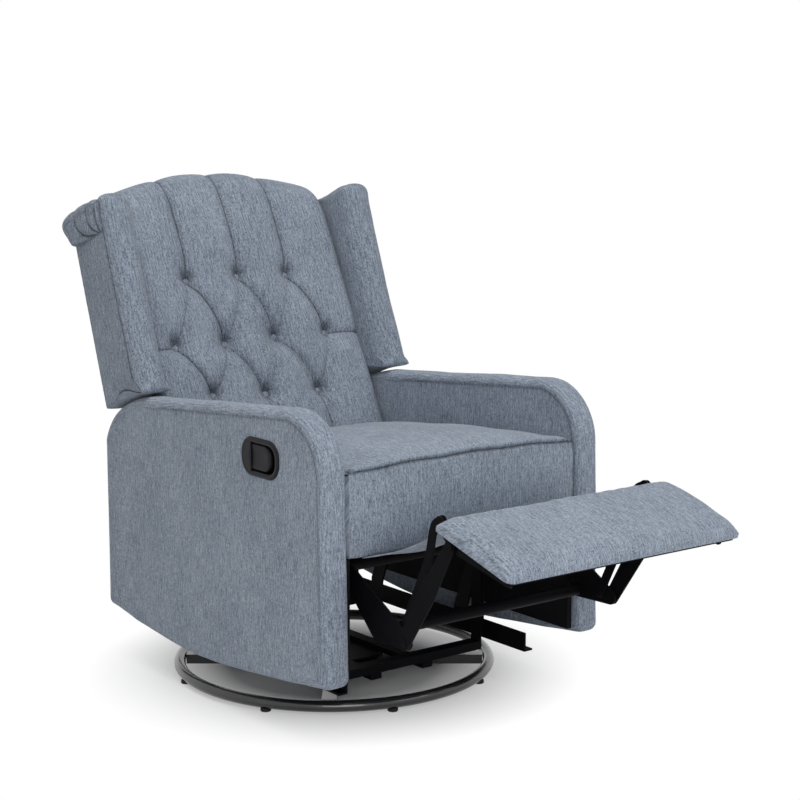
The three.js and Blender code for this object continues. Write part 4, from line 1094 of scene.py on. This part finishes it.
# The band is full in front and flat to the rear and under the foot. The inner face has a
# hollow behind the band, and the outer face is drawn in where the roll end lies over it.
for seed, (name, side) in enumerate(sides.items()):
    line = wing_line(401)
    axis = np.stack([np.full(len(line), wing_axis_y),
                     np.clip(line[:, 1], wing_axis_low, wing_axis_high)], -1)
    front = ramp(line[:, 0], 0.0, -0.05)
    clear = ramp(line[:, 1], wing_foot_front - 0.002, wing_foot_front + 0.010)
    over = ramp(line[:, 1], 0.54, 0.58)
    low = ramp(line[:, 1], flare_height, wing_foot_front)
    soft = np.maximum(0.16, front * clear * (1 - 0.30 * over) * (1 + 0.40 * low ** 2))
    grids, *given = padded_slab(line, axis, soft, side * wing_inner, side * wing_outer,
                                wing_crown, wing_squareness, 70 + 10 * seed, slack=0.0022,
                                seamed=(0.0, 1.0) if side < 0 else (1.0, 0.0),
                                shown=0.4 + 0.85 * front)
    for grid in grids:
        inward = ramp(side * grid[..., 0], 0.318, wing_inner)
        upright = ramp(grid[..., 2], 0.600, 0.540)
        hollow = hollow_depth * bell(grid[..., 1] - hollow_y, hollow_width) * inward * upright
        capped = (ramp(grid[..., 2], tuck_height, tuck_height + tuck_ease)
                  * ramp(grid[..., 1], tuck_y, tuck_y + tuck_ease))
        grid[..., 0] -= side * (hollow + tuck_depth * (1 - inward) * capped)
    # The seams' painted shade is made stronger, and the wing takes the back's even painted shade.
    given[1] = [np.maximum(1.35 * fold, back_painted_shade) for fold in given[1]]
    wing = shell(f"padded_wing_{name}", [leaned(grid) for grid in grids], *given)
    dress(wing, cloth, "back", "upholstery", f"wing_{name}")


# Roll ends. At each end of the roll along the top the cloth is drawn over the wing's
# shoulder and gathered in pleats to one point, above a turned seam to the rear.
camel_rise = 0.075
camel_half = 0.345
camel_dip, camel_dip_x, camel_dip_width = 0.005, -0.215, 0.075
roll_place = (0.029, 0.541)
roll_radius = 0.040


def camel(x):
    """How far the back's top rises above its ends: a parabola of the place across, less a
    shallow bell towards the sitter's right."""
    rise = camel_rise * np.clip(1 - (x / camel_half) ** 2, 0, None)
    return rise - camel_dip * bell(x - camel_dip_x, camel_dip_width)


def eased(line, rounds=3):
    """A line of points with its corners cut: each round puts two new points a quarter and
    three quarters along every stretch."""
    line = np.array(line, float)
    for _ in range(rounds):
        cut = [line[:-1] * 0.75 + line[1:] * 0.25, line[:-1] * 0.25 + line[1:] * 0.75]
        line = np.concatenate([line[:1], np.stack(cut, 1).reshape(-1, 2), line[-1:]])
    return line


def nearest(x, z, line):
    """For each place, its distance from a line of points, the side it lies on as a sign,
    and how far along the line the nearest place is, from 0 to 1."""
    best = np.full(x.shape, 1e9)
    share = np.zeros(x.shape)
    sign = np.ones(x.shape)
    for k in range(len(line) - 1):
        (x0, z0), (x1, z1) = line[k], line[k + 1]
        dx, dz = x1 - x0, z1 - z0
        t = np.clip(((x - x0) * dx + (z - z0) * dz) / (dx * dx + dz * dz), 0, 1)
        away = np.hypot(x - x0 - t * dx, z - z0 - t * dz)
        closer = away < best
        best = np.where(closer, away, best)
        share = np.where(closer, (k + t) / (len(line) - 1), share)
        sign = np.where(closer, np.sign((x - x0) * dz - (z - z0) * dx), sign)
    return best, sign, share


cap_line = eased([
    (-0.112, 0.497), (-0.114, 0.520), (-0.114, 0.548), (-0.110, 0.570), (-0.092, 0.582),
    (-0.055, 0.585), (-0.007, 0.585), (0.030, 0.583), (0.054, 0.576), (0.063, 0.560),
    (0.055, 0.538), (0.038, 0.520), (0.018, 0.506), (-0.002, 0.499), (-0.055, 0.499),
    (-0.112, 0.497)], 2)
gather_lines = [eased(line) for line in (
    [(-0.111, 0.497), (-0.095, 0.522), (-0.094, 0.552), (-0.106, 0.574), (-0.120, 0.590)],
    [(-0.109, 0.498), (-0.070, 0.518), (-0.055, 0.545), (-0.057, 0.567), (-0.070, 0.590)],
    [(-0.104, 0.499), (-0.042, 0.509), (-0.010, 0.530), (0.002, 0.556), (-0.004, 0.590)])]
cap_inner, cap_outer = 0.300, wing_outer + 0.0015
cap_roll, cap_squareness = 0.022, 0.70
cap_overlap = 0.0205
cap_axis_front, cap_axis_rear, cap_axis_height, cap_heart_height = -0.045, 0.020, 0.545, 0.540
gather_sink, gather_width, gather_reach = 0.0062, 0.0045, 0.024
gather_puff = 0.0035
for seed, (name, side) in enumerate(sides.items()):
    line = even(cap_line, 321)
    axis = np.stack([np.clip(line[:, 0], cap_axis_front, cap_axis_rear),
                     np.full(len(line), cap_axis_height)], -1)
    top = ramp(line[:, 1], 0.508, 0.528)
    forward = ramp(line[:, 0], -0.080, -0.110)
    soft = 0.12 + 0.88 * top * (1 - 0.75 * forward)
    grids, grains, _ = padded_slab(line, axis, soft, side * cap_inner, side * cap_outer,
                                   cap_roll, cap_squareness, 110 + 10 * seed,
                                   slack=0.0008, puckers=0.0)
    folds = [np.zeros(grid.shape[:2]) for grid in grids]
    for grid, fold in zip(grids, folds):
        outer = ramp(side * grid[..., 0], 0.310, 0.330)
        inner = ramp(side * grid[..., 0], 0.3268, cap_inner)
        grid[..., 0] -= side * cap_overlap * inner * ramp(grid[..., 1], -0.004, 0.016)
        deep, full = np.zeros(outer.shape), np.ones(outer.shape)
        for gathered in gather_lines:
            away, _, share = nearest(grid[..., 1], grid[..., 2], gathered)
            hold = outer * (1 - 0.5 * share)
            deep = np.maximum(deep, gather_sink * hold * np.exp(-away / gather_width))
            full = np.minimum(full, away / gather_reach)
            # Painted shade along each gathered pleat.
            shade = 1.3 * seam_shade * hold * np.exp(-away / seam_width)
            np.maximum(fold, shade, out=fold)
        # Painted shade along the turned seam at the foot of the roll end, in front.
        lower = ramp(grid[..., 2], 0.515, 0.500)
        np.maximum(fold, 0.5 * lower * (grid[..., 1] < 0.01), out=fold)
        heart_y = np.clip(grid[..., 1], cap_axis_front, cap_axis_rear)
        core = np.stack([side * cap_inner + 0 * deep, heart_y,
                         cap_heart_height + 0 * deep], -1) - grid
        grid += core * (deep / np.linalg.norm(core, axis=-1))[..., None]
        grid[..., 0] += side * gather_puff * outer * full * (2 - full)
        # The back's even painted shade.
        np.maximum(fold, back_painted_shade, out=fold)
    cap = shell(f"roll_end_{name}", [leaned(grid) for grid in grids], grains, folds)
    dress(cap, cloth, "back", "upholstery", *(["back_scroll"] if side > 0 else []))


# Tufted back. One cover, pulled back to the board by cloth buttons in staggered rows and
# folded in diamond pleats between them, runs straight up over the roll and down behind it.
back_half = 0.2835
tuft_deep = (-0.078, 0.120, 0.11)
tuft_puff = 0.029
cover_sink = 0.011
back_foot = -0.012
back_bend, back_bend_rear = 0.080, 0.045
back_board = -0.0185
roll_end_angle = -math.radians(100)
back_end_heart = (-0.024, 0.548)
back_edge = 0.030
pit_depth, pit_width = 0.0165, 0.027
pleat_sink, pleat_width = 0.0050, 0.0030
puff_steep, puff_easy = 0.018, 0.034
roll_thinning = ((0.52, 0.64, 0.72, 0.80), (1, 0.72, 0.42, 0.08))
button_rows = [[(-0.131, 0.396), (0.003, 0.399), (0.131, 0.395)],
               [(-0.200, 0.246), (-0.072, 0.245), (0.060, 0.251), (0.197, 0.249)],
               [(-0.136, 0.130), (-0.003, 0.121), (0.137, 0.116)]]
buttons = np.concatenate(button_rows)


def pleat(first, last, bow=0.0, count=14):
    """A pleat's line from one button to another, bowed sideways by a half sine."""
    t = np.linspace(0, 1, count)[:, None]
    first, last = np.array(first, float), np.array(last, float)
    way = last - first
    side_way = np.array([-way[1], way[0]]) / np.linalg.norm(way)
    return first + t * way + bow * np.sin(math.pi * t) * side_way


# Each pleat has its line, the share of the puff that it takes and the depth of its fold.
# Those that run down to the sitter's left are the deeper ones, and no two are quite alike.
pleats = []
draw = np.random.default_rng(61)
for upper, lower, first_step in ((0, 1, 0), (1, 2, -1)):
    for k, knot in enumerate(button_rows[upper]):
        for step, bow, wide, fine in ((first_step, 0.004, 0.30, 0.70),
                                      (first_step + 1, 0.008, 0.50, 1.0)):
            if 0 <= k + step < len(button_rows[lower]):
                bowed = bow * draw.uniform(0.2, 1.3)
                pleats.append((pleat(knot, button_rows[lower][k + step], bowed),
                               wide * draw.uniform(0.75, 1.15), fine * draw.uniform(0.55, 1)))
for x, z in button_rows[0]:
    pleats.append((pleat((x, z), (x, 0.80), count=2), 0.40, 0.95))
for x, z in button_rows[2]:
    pleats.append((pleat((x, z), (x, back_foot), count=2), 0.36, 0.8))
for x, z in (button_rows[1][0], button_rows[1][-1]):
    pleats.append((pleat((x, z), (math.copysign(back_half, x), z - 0.010)), 0.30, 0.8))


def deep_plane(z):
    """Y of the plane that the buttons are pulled to, which leans a little more than the
    board."""
    return tuft_deep[0] + (z - tuft_deep[1]) * tuft_deep[2]


def back_profile(x):
    """The unpadded cover's line in the back's side view at every station: up the deep
    plane, a bend over the top, and round the roll to its underside. It gives points,
    outward ways and the run up the front, for all x at once."""
    top = roll_place[1] + camel(x) + roll_radius - cover_sink
    rise = np.linspace(0, 1, 350)[None, :]
    z = back_foot + rise * (top[:, None] - back_bend - back_foot)
    front = np.stack([deep_plane(z), z], -1)
    t = np.linspace(0, 1, 50)[None, 1:, None]
    low = np.stack([deep_plane(top - back_bend), top - back_bend], -1)[:, None]
    turn = np.stack([deep_plane(top), top], -1)[:, None]
    high = np.stack([deep_plane(top) + back_bend_rear, top], -1)[:, None]
    over = (1 - t) ** 2 * low + 2 * t * (1 - t) * turn + t ** 2 * high
    angle = np.linspace(math.pi / 2, roll_end_angle, 60)[None, :]
    roll = np.stack([roll_place[0] + roll_radius * np.cos(angle) + 0 * top[:, None],
                     top[:, None] - roll_radius + roll_radius * np.sin(angle)], -1)
    line = np.concatenate([front, over, roll], 1)
    step = np.gradient(line, axis=1)
    step /= np.linalg.norm(step, axis=-1, keepdims=True)
    return line, np.stack([-step[..., 1], step[..., 0]], -1)


def tuft_height(x, z, run):
    """How far the cover stands off its deep line, and the painted shade of its folds. The full
    puff is lessened by a hollow at each pleat, with a fine fold at its bottom, and by a
    pit above each button. A pleat is steep on one side and eases off on the other. The
    puff thins over the roll and at the sides. The painted shade is darkest in the fine
    folds and above each button, soft beside the pleats, even over the whole cover, and
    dark along both sides by the wings, the more so on the sitter's right."""
    full = np.ones(x.shape)
    fold = np.zeros(x.shape)
    soft = np.zeros(x.shape)
    for line, wide, fine in pleats:
        away, sign, _ = nearest(x, z, line)
        full *= 1 - wide * np.exp(-away / np.where(sign > 0, puff_easy, puff_steep))
        fold = np.maximum(fold, fine * np.exp(-away / pleat_width))
        soft = np.maximum(soft, wide / 0.5 * bell(away, 0.014))
    off = np.min([np.hypot(x - bx, z - bz - 0.003) for bx, bz in buttons], 0)
    above = np.min([np.hypot(x - bx + 0.002, z - bz - 0.011) for bx, bz in buttons], 0)
    beside = back_half - np.abs(x)
    side_in = np.clip(beside / back_edge, 0, 1)
    thin = np.interp(run, *roll_thinning)
    side_round = np.sqrt(np.clip(side_in * (2 - side_in), 0, 1))
    height = (tuft_puff * (0.22 + 0.78 * full) * thin * (0.15 + 0.85 * side_round)
              - pleat_sink * fold * np.sqrt(thin)
              - pit_depth * np.exp(-(off / pit_width) ** 1.5) - 0.006 * (1 - side_round))
    # Painted shade: in the folds, above the buttons, beside the pleats, an even floor, and along
    # the sides.
    shade = np.maximum(0.95 * fold ** 1.2, 0.76 * bell(above, 0.020))
    shade = np.maximum(shade, back_painted_shade + 0.20 * soft)
    near = np.where(x < 0, 1.0, 0.35)
    return height, np.maximum.reduce([shade, 0.9 * np.exp(-beside / 0.004),
                                      0.72 * near * bell(beside - 0.004, 0.019),
                                      0.34 * near * bell(beside, 0.060)])


stations = np.linspace(-back_half, back_half, 331)
line, outward = back_profile(stations)
across = np.broadcast_to(stations[:, None], line.shape[:2])
run = np.concatenate([np.zeros((len(stations), 1)), np.cumsum(
    np.linalg.norm(np.diff(line, axis=1), axis=-1), axis=1)], 1) + back_foot
drop = camel_rise - camel(stations)[:, None]
lifted, shade = tuft_height(across, np.where(line[..., 1] > 0.5, run, line[..., 1]),
                            run + drop * (run > 0.4))
soft_waves = 0.0011 * waves(np.stack([across, line[..., 0], line[..., 1]], -1), 0.11, 201)
surface = line + outward * (lifted + soft_waves)[..., None]
cover = np.concatenate([across[..., None], surface], -1)
inside, foot = (np.stack([stations, back_board + 0 * stations, z + 0 * stations], -1)[:, None]
                for z in (line[:, -1, 1], back_foot))
around_back = np.concatenate([cover, inside, foot, cover[:, :1]], 1)
grain = np.stack([across, run], -1)
grain = np.concatenate([grain, np.repeat(grain[:, -1:], 2, 1), grain[:, :1]], 1)
shade = np.concatenate([shade, np.zeros((len(stations), 2)), shade[:, :1]], 1)
ends = [np.broadcast_to([stations[k], *back_end_heart], around_back[k].shape)
        for k in (0, -1)]
around_back = np.stack([ends[0], *around_back, ends[1]])
grain = np.concatenate([grain[:1], grain, grain[-1:]])
shade = np.concatenate([0.3 * shade[:1], shade, 0.3 * shade[-1:]])
back_cover = shell("tufted_back", [leaned(around_back)], [grain], [shade])
dress(back_cover, cloth, "back", "upholstery", "back_cushion")

button_radius, button_height, button_sink = 0.0088, 0.0062, 0.0030
# The buttons' cloth carries an even painted shade, as they sit in the shade of their pits.
button_painted_shade = 0.24
seats = tuft_height(buttons[:, 0], buttons[:, 1], buttons[:, 1])[0]
for number, ((bx, bz), lift) in enumerate(zip(buttons, seats), 1):
    swell = np.linspace(0, math.pi / 2, 9)
    profile = [(0, 0.004), (button_radius, 0.002)]
    profile += [(button_radius * math.cos(a), -button_height * math.sin(a)) for a in swell[1:]]
    grid = turned(profile, (bx, deep_plane(bz) - lift - button_sink, bz), 1, 32)
    face_grain = np.stack([grid[..., 0], grid[..., 2]], -1)
    button = shell(f"tuft_button_{number}", [leaned(grid)], [face_grain],
                   [np.full(grid.shape[:2], button_painted_shade)])
    dress(button, cloth, "back", "upholstery")


# Rear of the back. A flat cover over cardboard and thin padding, tacked to the board down
# both sides and blind stitched under the roll.
rear_half = 0.283
rear_foot = -0.020
rear_inner = -0.0178
hinge_notch_x, hinge_notch_top = 0.2615, 0.045
rear_roll_gap = 0.002
rear_edge_sink, rear_edge_width = 0.004, 0.006
rear_x = np.linspace(-rear_half, rear_half, 81)
rear_top = roll_place[1] - roll_radius - rear_roll_gap + camel(rear_x)
share = np.linspace(0, 1, 60)
rear_z = rear_foot + share[None, :] * (rear_top[:, None] - rear_foot)
rear_grid = np.stack([np.broadcast_to(rear_x[:, None], rear_z.shape),
                      np.full(rear_z.shape, back_rear), rear_z], -1)
edge = np.minimum(rear_half - np.abs(rear_grid[..., 0]), np.minimum(
    rear_z - rear_foot, rear_top[:, None] - rear_z))
rear_grid[..., 1] += 0.0010 * waves(rear_grid, 0.24, 301)
rear_grid[..., 1] -= rear_edge_sink * bell(edge, rear_edge_width)
notched = np.maximum(rear_grid[..., 2], hinge_notch_top)
rear_grid[..., 2] = np.where(np.abs(rear_grid[..., 0]) > hinge_notch_x, notched,
                             rear_grid[..., 2])
inner_face = rear_grid.copy()
inner_face[..., 1] = rear_inner
rear_grid = closed(np.concatenate([rear_grid, inner_face[:, ::-1], rear_grid[:, :1]], 1))
rear_cover = shell("rear_cover", [leaned(rear_grid)], [rear_grid[..., [0, 2]]])
dress(rear_cover, cloth, "back", "upholstery", "back_panel")
repaint(satin_paint, "back_hinge_left", "back_hinge_right")


# Footrest drive. A tube that turns in the side plates, with a flat steel drive link welded
# on each end and a second tube between the two links, one end in a yellow nylon bush.
knee = (-0.584, 0.236)
control_low = (-0.561, 0.240)
drive_inner = 0.2524
long_inner, control_inner = extent("long_link_left")[0][0], extent("control_link_left")[0][0]
pivot_half, knee_half = 0.019, 0.016
rivet, rivet_head = 0.006, 0.009
head_height = 0.0025
dress(shell("footrest_tube", [tube_grid("drive_tube")], crease=35),
      satin_paint, "drive", "black_painted_steel", "drive_tube")
dress(shell("linking_tube", [tube_grid("sync_tube")], crease=35),
      satin_paint, "drive", "black_painted_steel", "sync_tube")
nylon = hard_finish("yellow nylon", (0.62, 0.58, 0.05), (0.40, 0.36, 0.10),
                    dustiness=0.25, polish=0.40, peel=700.0, bump=0.15)
drive_pivot, _ = side_view("drive_tube")
sync_tube, (tube_radius, _) = side_view("sync_tube")
_, (bush_radius, _) = side_view("sync_bushing")
bush_low, bush_high = (place[0] for place in extent("sync_bushing"))
bush_bore, bush_lip = tube_radius + 0.0002, 0.0008
bush = turned([(bush_bore, bush_low), (bush_radius - bush_lip, bush_low),
               (bush_radius, bush_low + bush_lip), (bush_radius, bush_high - bush_lip),
               (bush_radius - bush_lip, bush_high), (bush_bore, bush_high),
               (bush_bore, bush_low)], (0, *sync_tube), 0, 40)
dress(shell("nylon_bush", [bush], crease=35), nylon, "drive", "yellow_nylon", "sync_bushing")

for name, side in sides.items():
    outer = long_inner + sheet_steel + head_height
    root = drive_inner + sheet_steel / 2
    discs = [(*drive_pivot, pivot_half), (*knee, knee_half), (*sync_tube, knee_half)]
    grids = [plate_grid(discs, *span(side, drive_inner)),
             rivet_grid(knee, rivet, side, root, outer - 0.001),
             rivet_grid(knee, rivet_head, side, outer - head_height + 0.0003, outer, dome=0.22),
             rivet_grid(control_low, rivet, side, root, control_inner - 0.001),
             rivet_grid(control_low, rivet_head, side, control_inner - 0.0003,
                        control_inner - head_height, dome=0.2)]
    dress(shell(f"drive_link_{name}_steel", grids, crease=35), satin_paint, "drive",
          "black_painted_steel", f"drive_link_{name}")


# Footrest links. On each side one wide pressed link from the knee to the footrest bracket
# and one bent link beside it that tilts the footrest, both riveted so that they turn.
footrest_edge = (-0.698, 0.490)
footrest_tilt = math.radians(16)


def on_footrest(along_it, square):
    """A place of the side view from its distance along the footrest, from the rear edge,
    and square to it, up from the pad's rear top edge."""
    c, s = math.cos(footrest_tilt), math.sin(footrest_tilt)
    return np.array([footrest_edge[0] - along_it * c - square * s,
                     footrest_edge[1] - along_it * s + square * c])


def bent_bar(path, half, ends, x_low, x_high):
    """A flat bar of even width along a bent line: its section, a rectangle with broken
    edges, is carried along the line, and its half width falls as a circle does at the two
    round ends."""
    run = along(path)
    first, last = ends
    cap = np.sin(np.linspace(-math.pi / 2, 0, 12))
    at = np.concatenate([first * cap, np.linspace(0, run[-1], 90)[1:-1],
                         run[-1] - last * cap[::-1]])
    width = np.full(len(at), half)
    width = np.where(at < 0, np.sqrt(np.clip(first ** 2 - at ** 2, 0, None)), width)
    past = at - run[-1]
    width = np.where(past > -last, np.maximum(width * (past < 0), np.sqrt(
        np.clip(last ** 2 - past ** 2, 0, None))), width)
    start = (path[1] - path[0]) / np.linalg.norm(path[1] - path[0])
    stop = (path[-1] - path[-2]) / np.linalg.norm(path[-1] - path[-2])
    middle = np.stack([np.interp(at, run, path[:, k]) for k in (0, 1)], -1)
    middle += np.minimum(at, 0)[:, None] * start + np.maximum(past, 0)[:, None] * stop
    step = np.gradient(middle, axis=0)
    step /= np.linalg.norm(step, axis=1, keepdims=True)
    off = np.stack([-step[:, 1], step[:, 0]], -1)
    full = 1 - edge_break / half
    section = [(x_low + edge_break, 1), (x_high - edge_break, 1), (x_high, full),
               (x_high, -full), (x_high - edge_break, -1), (x_low + edge_break, -1),
               (x_low, -full), (x_low, full), (x_low + edge_break, 1)]
    grid = np.zeros((len(at), len(section), 3))
    for column, (x, share) in enumerate(section):
        grid[:, column, 0] = x
        grid[:, column, 1:] = middle + off * (width * share)[:, None]
    ends_x = (x_low + x_high) / 2
    tips = []
    for row in (0, -1):
        tip = np.zeros((1, len(section), 3))
        tip[0, :, 0] = ends_x
        tip[0, :, 1:] = grid[row, :, 1:].mean(0)
        tips.append(tip)
    return np.concatenate([tips[0], grid, tips[1]])


ottoman_pin = on_footrest(0.030, -0.042)
control_pin = on_footrest(-0.0147, -0.0177)
link_waist, link_eye = 0.021, 0.012
control_half, control_eye = 0.010, 0.0108
shoulder, elbow = np.array([-0.641, 0.400]), np.array([-0.655, 0.466])
control_path = np.concatenate([
    [control_low], corner(shoulder - (shoulder - control_low) * 0.12, shoulder,
                          shoulder + (elbow - shoulder) * 0.25),
    corner(elbow - (elbow - shoulder) * 0.30, elbow, elbow + (control_pin - elbow) * 0.45),
    [control_pin]])
for name, side in sides.items():
    waist = (np.array(knee) + ottoman_pin) / 2
    wide = plate_grid([(*knee, knee_half), (*waist, link_waist), (*ottoman_pin, link_eye)],
                      *span(side, long_inner))
    dress(shell(f"long_link_{name}_steel", [wide], crease=35), satin_paint, "long_links",
          "black_painted_steel", f"long_link_{name}")
    bent = bent_bar(control_path, control_half, (control_half, control_eye),
                    *span(side, control_inner))
    dress(shell(f"control_link_{name}_steel", [bent], crease=35), satin_paint,
          "control_links", "black_painted_steel", f"control_link_{name}")
repaint(satin_paint, "footrest_bracket_left", "footrest_bracket_right")
repaint(board_cover, "footrest_board")


# Footrest pad. Foam under a cover stapled beneath a black-faced plywood board: a low
# pillow with soft rolled edges, round corners and no seam.
pad_half, pad_length = extent("footrest_pad")[1][0], 0.213
pad_corner, pad_roll = 0.016, 0.034
pad_low, pad_crown = -0.0201, 0.016
pad_pucker, pad_pucker_pitch, pad_pucker_reach = 0.0009, 0.037, 0.028


def rolled(inset):
    """A soft edge: a quarter ellipse of the distance from it, level past the roll."""
    share = np.clip(inset / pad_roll, 0, 1)
    return np.sqrt(share * (2 - share))


def pad_height(x, lengthwise):
    """Height of the cover over the footrest's plane: the product of its soft edges, times
    a crown that falls off with a power of the place across and a sine along."""
    crown = pad_crown * (1 - 0.30 * np.abs(x / pad_half) ** 4)
    crown = crown * (0.55 + 0.45 * np.sin(math.pi * lengthwise / pad_length))
    ahead = pad_length - lengthwise
    edges = rolled(pad_half - np.abs(x)) * rolled(lengthwise) * rolled(ahead)
    return pad_low + (crown - pad_low) * edges


x = pad_half * np.sin(np.linspace(-1, 1, 201) * math.pi / 2)[:, None]
short = np.clip(pad_corner - (pad_half - np.abs(x)), 0, None)
cut = pad_corner - np.sqrt(np.clip(pad_corner ** 2 - short ** 2, 0, None))
share = (1 - np.cos(np.linspace(0, math.pi, 121)))[None, :] / 2
lengthwise = cut + share * (pad_length - 2 * cut)
across = np.broadcast_to(x, lengthwise.shape)
flat = np.stack([across, lengthwise, 0 * across], -1)
edge_near = np.minimum(np.minimum(lengthwise, pad_length - lengthwise), pad_half - np.abs(x))
pucker = np.sin(flat[..., 0] * 2 * math.pi / pad_pucker_pitch + 2 * waves(flat, 0.12, 50))
pucker *= pad_pucker * np.exp(-edge_near / pad_pucker_reach)
height = pad_height(across, lengthwise) + np.sqrt(ramp(edge_near, 0, 0.02)) * (
    pucker + 0.0015 * waves(flat, 0.16, 51) + 0.0006 * waves(flat, 0.06, 52))
top_face = np.stack([across, lengthwise, height], -1)
under = np.stack([across, lengthwise, 0 * across + pad_low], -1)[:, 119:0:-1]
pad_grid = closed(np.concatenate([top_face, under, top_face[:, :1]], 1))
grain = np.stack([pad_grid[..., 0], pad_grid[..., 1] - pad_grid[..., 2]], -1)
pad_points = np.stack([pad_grid[..., 0], *on_footrest(pad_grid[..., 1], pad_grid[..., 2])], -1)
pad = shell("footrest_cover", [pad_points], [grain])
dress(pad, cloth, "footrest", "upholstery", "footrest_pad")


# Flap. A strip of the same cloth, stapled under the seat's front edge and into the rear
# edge of the footrest. It hangs slack between them and covers the gap.
flap_half, flap_rear, _ = extent("footrest_flap")[1]
flap_root = np.array([flap_rear, 0.3615])
flap_tuck = np.array([0.011, 0.0])
flap_sag = 0.016
flap_cloth = 0.0022
flap_widening = 0.020
flap_ripple, flap_ripple_length = 0.0035, 0.13
flap_end = on_footrest(0.003, -0.0175)
t = np.linspace(0, 1, 80)
middle = flap_root + flap_tuck + t[:, None] * (flap_end - flap_root - flap_tuck)
middle[:, 1] -= flap_sag * np.sin(math.pi * t)
flare = 1 + flap_widening * ramp(t, 0.5, 0) ** 1.5
spread_x = np.linspace(-flap_half, flap_half, 121)[:, None] * flare[None, :]
ease = np.sin(math.pi * t)[None, :]
billow = flap_ripple * ease * np.sin(
    spread_x * 2 * math.pi / flap_ripple_length + 2.0 * t[None, :])
sheet_grid = np.stack([spread_x, np.broadcast_to(middle[:, 0], spread_x.shape),
                       middle[:, 1] + billow], -1)
cloth_face = np.array([0, 0.25, 0.97]) * flap_cloth / 2
upper, lower = sheet_grid + cloth_face, sheet_grid - cloth_face
flap_ring = np.concatenate([upper, lower[:, ::-1], upper[:, :1]], 1)
ends = [np.concatenate([sheet_grid[k], sheet_grid[k, ::-1], sheet_grid[k, :1]])
        for k in (0, -1)]
flap_grid = np.stack([ends[0], *flap_ring, ends[1]])
flap_run = along(middle)
round_run = np.concatenate([flap_run, flap_run[::-1], flap_run[:1]])
flap_grain = np.stack(np.broadcast_arrays(flap_grid[..., 0], round_run[None, :]), -1)
flap = shell("hanging_flap", [flap_grid], [flap_grain])
dress(flap, cloth, "flap", "upholstery", "footrest_flap")
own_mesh(flap)
